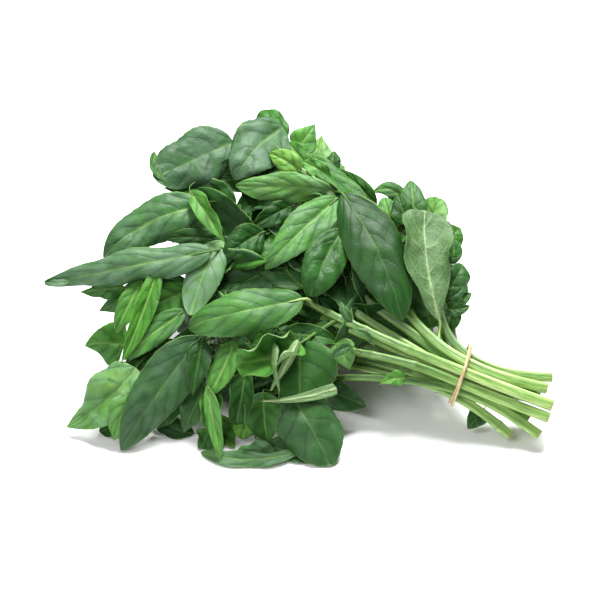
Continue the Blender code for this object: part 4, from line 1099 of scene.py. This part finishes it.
def makeTubeTree():
    # Geometry Nodes: lines with a radius to ridged tubes with closed ends
    group, t, given, result = newTree("ridgedTube", "GeometryNodeTree", {
        "Geometry": "Geometry", "Sides": "Int", "Squareness": "Float", "Material": "Material"},
        {"Geometry": "Geometry"})
    line = t.put("GeometryNodeMeshToCurve", (given["Geometry"],))
    radius = t.put("GeometryNodeInputNamedAttribute", {"Name": "tubeRadius"}, data_type="FLOAT")
    ring = t.put("GeometryNodeCurvePrimitiveCircle", {"Radius": 1.0, "Resolution": given["Sides"]})
    at = t.put("GeometryNodeInputPosition").outputs[0]
    parts = t.put("ShaderNodeSeparateXYZ", (at,)).outputs
    angle = t.math("ARCTAN2", parts[1], parts[0])
    square = t.times(t.math("COSINE", t.times(angle, 4.0)), given["Squareness"])
    ridges = t.times(t.math("COSINE", t.times(angle, 12.0)), t.times(given["Squareness"], 0.25))
    swell = t.add(t.add(1.0, square), ridges)
    scaled = t.put("ShaderNodeVectorMath", {0: at, "Scale": swell}, operation="SCALE").outputs[0]
    shaped = t.put("GeometryNodeSetPosition", {"Geometry": ring.outputs[0], "Position": scaled})
    stored = t.put("GeometryNodeStoreNamedAttribute",
                   {"Geometry": shaped.outputs[0], "Name": "tubeRing", "Value": at},
                   data_type="FLOAT_VECTOR", domain="POINT")
    tube = t.put("GeometryNodeCurveToMesh", {
        "Curve": line.outputs[0], "Profile Curve": stored.outputs[0],
        "Scale": radius.outputs["Attribute"], "Fill Caps": True})
    weld = t.put("GeometryNodeMergeByDistance", {"Geometry": tube.outputs[0], "Distance": 0.00001})
    smooth = t.put("GeometryNodeSetShadeSmooth", (weld.outputs[0],))
    paint = t.put("GeometryNodeSetMaterial", {"Geometry": smooth.outputs[0], "Material": given["Material"]})
    t.join(paint.outputs[0], result[0])
    return group


def applyTree(name, sheets, group, values):
    # runs a Geometry Nodes tree on some sheets or lines and keeps the result as a plain mesh
    thing = addObject(name, meshOf(name, sheets))
    modifier = thing.modifiers.new("nodes", "NODES")
    modifier.node_group = group
    for item in group.interface.items_tree:
        if item.item_type == "SOCKET" and item.in_out == "INPUT" and item.name in values:
            modifier[item.identifier] = values[item.name]
    bpy.context.view_layer.update()
    graph = bpy.context.evaluated_depsgraph_get()
    result = bpy.data.meshes.new_from_object(thing.evaluated_get(graph))
    thing.modifiers.remove(modifier)
    before = thing.data
    thing.data = result
    bpy.data.meshes.remove(before)
    return thing


# Materials. The leaf, stem and band colours are tuned against the photo under this scene's lights.
def newMaterial(name, subsurface=0.0, radius=(0.5, 1.0, 0.2), scale=0.001):
    material = bpy.data.materials.new(name)
    material.use_nodes = True
    shader = material.node_tree.nodes["Principled BSDF"]
    shader.inputs["Subsurface Weight"].default_value = subsurface
    shader.inputs["Subsurface Radius"].default_value = radius
    shader.inputs["Subsurface Scale"].default_value = scale
    return material, Tree(material.node_tree), shader


def dress(t, shader, colour, rough, normal):
    for key, source in (("Base Color", colour), ("Roughness", rough), ("Normal", normal)):
        t.join(source, shader.inputs[key])


def objectPlace(t):
    return t.put("ShaderNodeTexCoord").outputs["Object"]


def attribute(t, name):
    return t.put("ShaderNodeAttribute", attribute_name=name).outputs["Fac"]


def bump(t, height, distance, before=None):
    sources = {"Height": height, "Distance": distance, "Strength": 1.0}
    if before is not None:
        sources["Normal"] = before
    return t.put("ShaderNodeBump", sources).outputs[0]


def makeVeinGroup():
    # masks from a leaf's attributes: midrib, side veins, fine net, and the swell between side veins
    masks = ("Midrib", "Side Veins", "Net", "Swell", "Edge")
    group, t, given, result = newTree("leafVeins", "ShaderNodeTree", {}, dict.fromkeys(masks, "Float"))
    along, across, half, seed, pairs = (
        attribute(t, key) for key in ("leafAlong", "leafAcross", "leafHalf", "leafSeed", "leafPairs"))
    edge = t.math("ABSOLUTE", across)
    phase = veinPhase(t, along, across, pairs, seed)
    width = t.ramp(edge, 0.0, 1.0, 0.055, 0.022, False)
    side = t.times(t.bell(veinGap(t, phase), width), t.ramp(edge, 0.98, 0.7))
    rib = t.bell(t.times(edge, half), t.ramp(along, 0.0, 1.0, 0.0007, 0.00022, False))
    place = t.put("ShaderNodeCombineXYZ", (
        t.times(along, 26.0), t.times(t.times(across, half), 620.0), seed)).outputs[0]
    cells = t.put("ShaderNodeTexVoronoi", {"Vector": place, "Scale": 1.0}, feature="DISTANCE_TO_EDGE")
    net = t.ramp(cells.outputs["Distance"], 0.16, 0.0)
    swell = hump(t, t.times(phase, 2 * math.pi))
    for value, socket in zip((rib, side, net, swell, edge), result):
        t.join(value, socket)
    return group


veinGroup = makeVeinGroup()


def veinsOf(t):
    return t.put("ShaderNodeGroup", node_tree=veinGroup).outputs


def colourRamp(t, value, stops):
    node = t.put("ShaderNodeValToRGB", (value,))
    ramp = node.color_ramp
    while len(ramp.elements) < len(stops):
        ramp.elements.new(0.5)
    for element, (place, colour) in zip(ramp.elements, stops):
        element.position = place
        element.color = (*colour, 1)
    return node.outputs[0]


leafColours = {"stops": ((0.0, (0.007, 0.042, 0.005)), (0.3, (0.019, 0.092, 0.010)),
                         (0.6, (0.060, 0.215, 0.018)), (1.0, (0.26, 0.44, 0.055))),
               "paintedSheen": (0.135, 0.205, 0.15), "vein": (0.18, 0.32, 0.08), "edge": (0.28, 0.42, 0.10),
               "sunkenShade": (0.45, 0.60, 0.42),
               "under": ((0.0, (0.055, 0.125, 0.035)), (0.5, (0.14, 0.25, 0.08)),
                         (1.0, (0.30, 0.44, 0.16))),
               "underNet": (0.26, 0.38, 0.17), "underSide": (0.32, 0.44, 0.2),
               "underRib": (0.36, 0.48, 0.22)}


def makeLeafUpper():
    material, t, shader = newMaterial("leafUpper", 0.12, (0.3, 1.0, 0.1), 0.0012)
    midrib, side, net, swell, edge = veinsOf(t)
    at = objectPlace(t)
    tone = t.add(attribute(t, "leafTone"), t.times(noiseSwing(t, at, 55.0, 3.0), 0.5))
    # tone rises on the swells between side veins and drops beside the veins: painted light and shade of the
    # quilting
    tone = t.add(tone, t.times(t.take(t.power(swell, 0.5), 0.62), 0.14))

    def veined(mask, dark, light):
        return t.times(mask, t.ramp(tone, 0.0, 0.5, dark, light))

    colour = colourRamp(t, tone, leafColours["stops"])
    # painted sheen: a grey-green glaze over patches of each leaf, as strong as the leaf's sheen amount,
    # stands in for light glancing off it
    paintedSheen = t.times(attribute(t, "leafPaintedSheen"), t.ramp(noiseAt(t, at, 130.0), 0.3, 0.7, 0.3, 0.8))
    colour = t.mix(paintedSheen, colour, leafColours["paintedSheen"])
    colour = t.mix(veined(net, 0.01, 0.07), colour, leafColours["vein"])
    colour = t.mix(veined(side, 0.05, 0.16), colour, leafColours["vein"])
    # painted shade: a darker line along each side vein's crease, fading out towards the midrib
    sunkenShade = t.times(t.power(t.take(1.0, swell), 26.0), t.ramp(edge, 0.0, 0.25, 0.0, 0.5))
    colour = t.mix(sunkenShade, colour, leafColours["sunkenShade"], "MULTIPLY")
    colour = t.mix(veined(midrib, 0.12, 0.6), colour, leafColours["vein"])
    colour = t.mix(t.times(t.ramp(edge, 0.94, 1.0), 0.4), colour, leafColours["edge"])
    rough = t.add(0.38, t.times(noiseAt(t, at, 260.0, 1.0), 0.2))
    shader.inputs["Specular IOR Level"].default_value = 0.2
    veins = t.add(t.times(net, 0.22), t.times(side, 0.6))
    relief = t.take(t.times(noiseAt(t, at, 900.0, 3.0), 0.3), veins)
    crease = t.power(t.math("ABSOLUTE", noiseSwing(t, at, 120.0)), 0.7)
    crease = t.times(t.times(crease, attribute(t, "leafRelief")), t.ramp(edge, 0.05, 0.3))
    dress(t, shader, colour, rough, bump(t, relief, 0.00014, bump(t, crease, 0.0007)))
    return material


def makeLeafUnder():
    material, t, shader = newMaterial("leafUnder", 0.12, (0.3, 1.0, 0.1), 0.0012)
    midrib, side, net = veinsOf(t)[:3]
    at = objectPlace(t)
    tone = t.add(attribute(t, "leafTone"), t.times(noiseSwing(t, at, 70.0), 0.2))
    colour = colourRamp(t, tone, leafColours["under"])
    colour = t.mix(t.times(net, 0.14), colour, leafColours["underNet"])
    colour = t.mix(t.times(side, 0.32), colour, leafColours["underSide"])
    colour = t.mix(t.times(midrib, 0.7), colour, leafColours["underRib"])
    relief = t.add(t.times(noiseAt(t, at, 900.0, 3.0), 0.25), t.add(t.times(net, 0.5), side))
    dress(t, shader, colour, 0.6, bump(t, relief, 0.00018))
    return material


def tubePlace(t, alongScale, ringScale):
    # a place for noise that runs in streaks along a tube, with no seam round it
    ring = t.put("ShaderNodeAttribute", attribute_name="tubeRing").outputs["Vector"]
    parts = t.put("ShaderNodeSeparateXYZ", (ring,)).outputs
    place = t.put("ShaderNodeCombineXYZ", (t.times(attribute(t, "tubeAlong"), alongScale),
                                           t.times(parts[0], ringScale), t.times(parts[1], ringScale)))
    return place.outputs[0], parts


def makeStemMaterial():
    material, t, shader = newMaterial("stemGreen", 0.1, (0.5, 1.0, 0.2), 0.0015)
    at = objectPlace(t)
    coarse, ring = tubePlace(t, 0.05, 1.6)
    # streaks along the stem: partly its own fibres, partly painted highlight streaks; the pale top stop of
    # the colour ramp below is painted highlight
    fibreAndHighlight = noiseAt(t, tubePlace(t, 0.10, 7.0)[0], 1.0, 3.0, 0.6)
    # painted shade: darker on the recessed faces between the stem's four corners
    grooveShade = hump(t, t.times(t.math("ARCTAN2", ring[1], ring[0]), 4.0))
    shade = t.add(attribute(t, "tubeTone"), t.times(t.take(fibreAndHighlight, 0.5), 0.85))
    shade = t.add(shade, t.times(noiseSwing(t, coarse, 1.0), 0.4))
    shade = t.take(shade, t.times(grooveShade, 0.22))
    colour = colourRamp(t, shade, ((0.0, (0.025, 0.085, 0.010)), (0.33, (0.15, 0.30, 0.055)),
                                   (0.6, (0.42, 0.58, 0.20)), (0.9, (0.80, 0.86, 0.55))))
    joint = t.ramp(attribute(t, "tubeJoint"), 0.55, 1.0)
    colour = t.mix(t.times(joint, 0.45), colour, (0.13, 0.20, 0.05))
    speck = t.ramp(noiseAt(t, at, 420.0), 0.70, 0.76)
    colour = t.mix(t.times(speck, 0.5), colour, (0.16, 0.13, 0.05))
    fromCut = t.add(attribute(t, "tubeAlong"), t.times(noiseSwing(t, at, 700.0), 3.0))
    colour = t.mix(t.times(t.ramp(fromCut, 1.6, 0.2), 0.6), colour, (0.27, 0.22, 0.09))
    height = t.add(fibreAndHighlight, t.times(noiseAt(t, at, 1200.0), 0.2))
    dress(t, shader, colour, 0.38, bump(t, height, 0.00022))
    return material


def makeBandMaterial():
    material, t, shader = newMaterial("bandTan", 0.08, (1.0, 0.6, 0.3), 0.001)
    streak = noiseAt(t, tubePlace(t, 0.3, 3.0)[0], 1.0, 3.0)
    shade = t.add(streak, t.times(noiseSwing(t, objectPlace(t), 900.0), 0.4))
    colour = colourRamp(t, shade, ((0.2, (0.34, 0.22, 0.11)), (0.5, (0.55, 0.40, 0.22)),
                                   (0.8, (0.70, 0.56, 0.36))))
    dress(t, shader, colour, 0.6, bump(t, shade, 0.00015))
    return material


def makeCutMaterial():
    material, t, shader = newMaterial("cutEnd", 0.1, (0.6, 0.8, 0.3), 0.001)
    fibres = noiseAt(t, objectPlace(t), 1500.0)
    out = t.add(attribute(t, "cutRing"), t.times(t.take(fibres, 0.5), 0.25))
    colour = colourRamp(t, out, ((0.0, (0.42, 0.50, 0.20)), (0.55, (0.36, 0.44, 0.14)),
                                 (0.80, (0.20, 0.17, 0.06)), (1.0, (0.10, 0.14, 0.03))))
    dress(t, shader, colour, 0.65, bump(t, fibres, 0.0002))
    return material


leafUpper, leafUnder = makeLeafUpper(), makeLeafUnder()
stemMaterial, bandMaterial = makeStemMaterial(), makeBandMaterial()
cutMaterial = makeCutMaterial()
reliefTree, tubeTree = makeReliefTree(), makeTubeTree()
print("materials and trees ready")


def lineMesh(points, radii, tones, joints=None):
    points = np.asarray(points)
    count = len(points)
    return {"place": (points + view["gridShift"]) * mm,
            "edges": np.stack([np.arange(count - 1), np.arange(1, count)], axis=1),
            "tubeRadius": np.asarray(radii) * mm, "tubeAlong": runAlong(points),
            "tubeTone": np.asarray(tones), "tubeJoint": np.zeros(count) if joints is None else joints}


# Leaf stalks, which sag a little away from the viewer and end under the blade.
stalk = {"radius": 0.72, "flare": 1.5, "flareEnds": 9, "tipRadius": 0.25, "points": 22, "straightTo": 6,
         "sag": 0.3, "mostSag": 7, "underBlade": 0.12, "offFloor": 0.9, "fullFrom": 18, "tone": 0.16,
         "lighter": 0.1}

# How much thicker than others some stalks are, and their tones.
stalkLooks = {"centreFront": (1.7, 0.55), "cuppedLight": (1.3, 0.3), "lowStemLeaf": (1.0, 0.5),
              "paleUnderside": (1.4, 0.45)}


def stalkLine(name, leaf):
    # from the stem to a little way along the blade's underside
    stem, points, width, facing, fold = leaf
    inner, run = bladeRun(points, np.linspace(0, stalk["underBlade"], 5) * leafRule["bladeSamples"])
    reach = np.linalg.norm(points[1] - points[0])
    sag = towards * min(max(reach - stalk["straightTo"], 0) * stalk["sag"], stalk["mostSag"])
    middle = (points[0] + points[1]) / 2 - sag
    line = curveThrough([points[0], middle, points[1], inner[2], inner[4]], stalk["points"])
    line[:, 2] = np.maximum(line[:, 2], stalk["offFloor"])
    share = np.linspace(0, 1, len(line))
    thick = min(1.0, width / stalk["fullFrom"])
    bold, tone = stalkLooks.get(name, (1, stalk["tone"]))
    flare = (stalk["flare"] - 1) * np.exp(-share * stalk["flareEnds"])
    radii = stalk["radius"] * thick * bold * (1 + flare)
    radii = radii + (stalk["tipRadius"] - radii) * share**2
    return lineMesh(line, radii, tone + stalk["lighter"] * share)


# Stems: from where and over how much of a stem its tone turns leafy, and its swollen joints.
stemLook = {"cutInset": 0.06, "points": 150, "bareTone": 0.55, "leafyTone": 0.28, "turnsLeafy": (0.2, 0.25),
            "tones": (-0.14, 0.12), "nodeSwell": 0.16, "nodeWidth": 1.5, "joints": 12, "firstJoint": 70,
            "jointShift": 14, "jointGaps": (20, 26)}


def stemTube(name, line):
    # finer line with swollen leaf joints
    fine = curveThrough(line, stemLook["points"])
    fine[0] = fine[0] + unit(fine[1] - fine[0]) * stemLook["cutInset"]
    share = np.linspace(0, 1, len(fine))
    radii = stemRadius(name, share)
    run = lengthOf(fine)
    draw = random.Random("stem " + name)
    first = stemLook["firstJoint"] + draw.uniform(0, stemLook["jointShift"])
    joint = np.zeros(len(fine))
    places = [first + k * draw.uniform(*stemLook["jointGaps"]) for k in range(stemLook["joints"])]
    for place in places + markedJoints(name, fine):
        joint += np.exp(-(((share * run - place) / stemLook["nodeWidth"]) ** 2))
    radii = radii * (1 + stemLook["nodeSwell"] * joint)
    start, over = stemLook["turnsLeafy"]
    leafy = np.clip((share - start) / over, 0, 1)
    tones = stemLook["bareTone"] + (stemLook["leafyTone"] - stemLook["bareTone"]) * leafy
    tones = tones + draw.uniform(*stemLook["tones"])
    return lineMesh(fine, radii, tones, joint)


# Side shoots that only the scene has: the stem each belongs to, its radius, the tones at its two
# ends, and its way as (column, row, depth), from the bundle into the heap.
sideShoots = {
    "besideCentre": ("centre", 3.0, (0.52, 0.38),
        ((452, 368, -14), (420, 357, -13), (392, 347, -11), (366, 336, -6), (342, 326, 0),
         (322, 318, 6))),
    "belowTall": ("back_tall", 2.9, (0.42, 0.24),
        ((450, 362, -12), (425, 343, -6), (402, 326, 1), (380, 311, 8), (362, 296, 14))),
    "aboveTall": ("back_tall", 2.1, (0.5, 0.3),
        ((452, 360, -10), (432, 343, -3), (414, 328, 4), (398, 312, 12))),
    "besideMiddle": ("front_middle", 2.2, (0.5, 0.34),
        ((446, 386, -20), (420, 376, -17), (394, 368, -13), (370, 362, -8), (348, 357, -2))),
    "aboveLow": ("left_low", 1.8, (0.56, 0.4),
        ((440, 390, -22), (416, 382, -19), (392, 376, -16), (368, 370, -12), (346, 366, -6))),
    "rightTwig": ("right_back", 1.3, (0.4, 0.26),
        ((452, 356, -10), (446, 342, -2), (440, 328, 6), (437, 308, 16))),
}


shootLook = {"points": 70, "taper": 0.3}


def shootTube(shoot):
    stem, radius, tones, way = sideShoots[shoot]
    fine = curveThrough([seen(*place) for place in way], shootLook["points"])
    share = np.linspace(0, 1, len(fine))
    radii = radius * (1 - shootLook["taper"] * share)
    return lineMesh(fine, radii, tones[0] + (tones[1] - tones[0]) * share)


# Grid places of the swollen joints that the front view shows.
jointMarks = ((351, 350), (352, 321), (500, 424), (414, 326), (400, 373))


def markedJoints(name, fine):
    # how far along a stem its marked joints are, for the marks that no other stem is nearer to
    run = runAlong(fine)
    found = []
    for mark in jointMarks:
        gaps = {key: np.linalg.norm(gridPlaces(line) - mark, axis=1).min() for key, line in lines.items()}
        if min(gaps, key=gaps.get) == name:
            found.append(run[np.argmin(np.linalg.norm(gridPlaces(fine) - mark, axis=1))])
    return found


cutLook = {"size": 0.975, "rings": 7, "sides": 28, "square": 0.05, "rise": 0.02, "dent": 0.03}


def cutDisc(name, line):
    # a stem's cut end: rings of slightly uneven corners round its middle
    radius = float(stemRadius(name, 0)) * cutLook["size"]
    axis = unit(line[0] - line[1])
    cut = line[0] - axis * stemLook["cutInset"]
    side = unit(np.cross(axis, (0, 0, 1.0)))
    over = np.cross(side, axis)
    rings, sides = cutLook["rings"], cutLook["sides"]
    draw = random.Random("cut " + name)
    place, ring = [cut + axis * cutLook["rise"]], [0.0]
    for i in range(1, rings + 1):
        share = i / rings
        for k in range(sides):
            turn = 2 * math.pi * k / sides
            swell = 1 + cutLook["square"] * math.cos(4 * turn)
            dent = cutLook["dent"] * draw.uniform(-1, 0) * (share < 1)
            rise = cutLook["rise"] * (1 - share**4) + dent
            out = side * math.cos(turn) + over * math.sin(turn)
            place.append(cut + axis * rise + out * radius * share * swell)
            ring.append(share)
    faces = [(0, 1 + k, 1 + (k + 1) % sides) for k in range(sides)]
    for i in range(rings - 1):
        for k in range(sides):
            a, b = 1 + i * sides + k, 1 + i * sides + (k + 1) % sides
            faces.append((a, a + sides, b + sides, b))
    return {"place": (np.array(place) + view["gridShift"]) * mm,
            "faces": [np.array(f) for f in faces], "cutRing": ring}


def joinInto(name, parts):
    first = parts[0]
    with bpy.context.temp_override(active_object=first, selected_editable_objects=parts, object=first):
        bpy.ops.object.join()
    first.name = name
    first.data.name = name
    return first


def leafyStem(name, line, leaves):
    sheets = [leafSheet(leafName, leaf, random.Random(leafName)) for leafName, leaf in leaves]
    blades = applyTree("blades_" + name, sheets, reliefTree,
                       {"Quilt Height": blade["quilt"], "Vein Depth": blade["veinDepth"],
                        "Rib Height": blade["ribHeight"], "Thickness": blade["thickness"],
                        "Upper Material": leafUpper, "Under Material": leafUnder})
    stalks = applyTree("stalks_" + name, [stalkLine(*pair) for pair in leaves], tubeTree,
                       {"Sides": 10, "Squareness": 0.0, "Material": stemMaterial})
    shoots = [shootTube(shoot) for shoot in sideShoots if sideShoots[shoot][0] == name]
    stem = applyTree("stem_" + name, [stemTube(name, line), *shoots], tubeTree,
                     {"Sides": 36, "Squareness": 0.085, "Material": stemMaterial})
    disc = addObject("cut_" + name, meshOf("cut_" + name, [cutDisc(name, line)]))
    disc.data.materials.append(cutMaterial)
    return joinInto("leafyStem_" + name, [blades, stalks, stem, disc])


def bandLine(lines):
    # the doubled band's middle line, wound twice round the stems
    edge = []
    for name, line in lines.items():
        tied = line[::-bandRule["stemStep"]]
        reach = (tied - bandCentre) @ bundleAxis
        radius = stems[name][0] + bandRule["gap"] + bandRule["thickness"] / 2
        for along in (-1, 0, 1):
            level = along * (bandRule["spread"] + bandRule["thickness"] / 2)
            middle = placesAt(tied, reach, [level])[0]
            middle -= bundleAxis * level
            for turn in np.linspace(0, 2 * math.pi, 24, endpoint=False):
                edge.append(middle + (bundleUp * math.cos(turn) + bundleOut * math.sin(turn)) * radius)
    flat = [((p - bandCentre) @ bundleUp, (p - bandCentre) @ bundleOut) for p in edge]
    hull = convex_hull_2d(flat)
    front = max(range(len(hull)), key=lambda k: flat[hull[k]][1])
    ring = [edge[i] for i in hull[front:] + hull[:front + 1]]
    ring = curveThrough(ring, bandRule["points"] // 2 + 1)[:-1]
    middle = ring.mean(axis=0)
    twice = []
    for i in range(bandRule["points"]):
        turn = 2 * math.pi * i / len(ring)
        point = ring[i % len(ring)]
        out = unit(point - middle)
        spread = bandRule["spread"] * math.sin(turn / 2)
        twice.append(point + bundleAxis * spread + out * (bandRule["lift"] * (1 + math.cos(turn / 2))))
    return np.array(twice)


def rubberBand(lines):
    # the closed line runs on past its start, and only one whole round is kept
    loop = bandLine(lines)
    before, after, samples = 3, 4, 420
    closed = curveThrough(np.vstack([loop[-before:], loop, loop[:after]]), samples)
    place = np.linspace(0, 1, samples) * (len(loop) + before + after - 1)
    line = closed[(place >= before) & (place <= len(loop) + before)]
    tube = lineMesh(line, np.full(len(line), 0.66), np.full(len(line), 0.5))
    return applyTree("rubberBand", [tube], tubeTree,
                     {"Sides": 20, "Squareness": 0.05, "Material": bandMaterial})


lines = stemLines()
found = layOut(lines)
found += [(name, sceneLeaf(lines, name)) for name in sceneLeaves]
found += fillLeaves(lines, found)
print("layout ready")
for name in stems:
    piece = leafyStem(name, lines[name], [(leafName, leaf) for leafName, leaf in found if leaf[0] == name])
    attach(piece, "root")
    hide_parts("leafy_stem_" + name)
    print("piece", name, len(piece.data.polygons))
band = rubberBand(lines)
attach(band, "root")
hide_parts("rubber_band")
print("band ready")


# Stage: white floor, white surround and soft lights from above and from the left. Lights: place,
# size and power.
stage = {"halfFloor": 1, "surround": 0.28, "aim": (0, 0, 0.04),
         "lights": {"above": ((0.12, 0.26, 1.0), 0.5, 26.0), "front": ((-0.55, -0.8, 0.9), 0.8, 9.0)}}


def makeStage():
    far = stage["halfFloor"]
    mesh = bpy.data.meshes.new("floor")
    mesh.from_pydata([(-far, -far, 0), (far, -far, 0), (far, far, 0), (-far, far, 0)], [], [(0, 1, 2, 3)])
    floor = addObject("floor", mesh)
    material, t, shader = newMaterial("floorWhite")
    shader.inputs["Base Color"].default_value = (0.92, 0.92, 0.92, 1)
    shader.inputs["Roughness"].default_value = 0.8
    shader.inputs["Specular IOR Level"].default_value = 0.1
    mesh.materials.append(material)
    world = bpy.data.worlds.new("surround")
    world.use_nodes = True
    t = Tree(world.node_tree)
    background = t.nodes["Background"]
    background.inputs[0].default_value = (1, 1, 1, 1)
    seenHere = t.put("ShaderNodeLightPath").outputs["Is Camera Ray"]
    t.join(t.ramp(seenHere, 0.0, 1.0, stage["surround"], 1.0, False), background.inputs[1])
    bpy.context.scene.world = world
    for name, (place, size, power) in stage["lights"].items():
        lamp = bpy.data.lights.new(name, "AREA")
        lamp.shape = "DISK"
        lamp.size = size
        lamp.energy = power
        light = addObject(name, lamp)
        turn = (Vector(stage["aim"]) - Vector(place)).to_track_quat("-Z", "Y").to_matrix().to_4x4()
        light.matrix_world = Matrix.Translation(place) @ turn
    bpy.context.scene.view_settings.view_transform = "Standard"


makeStage()
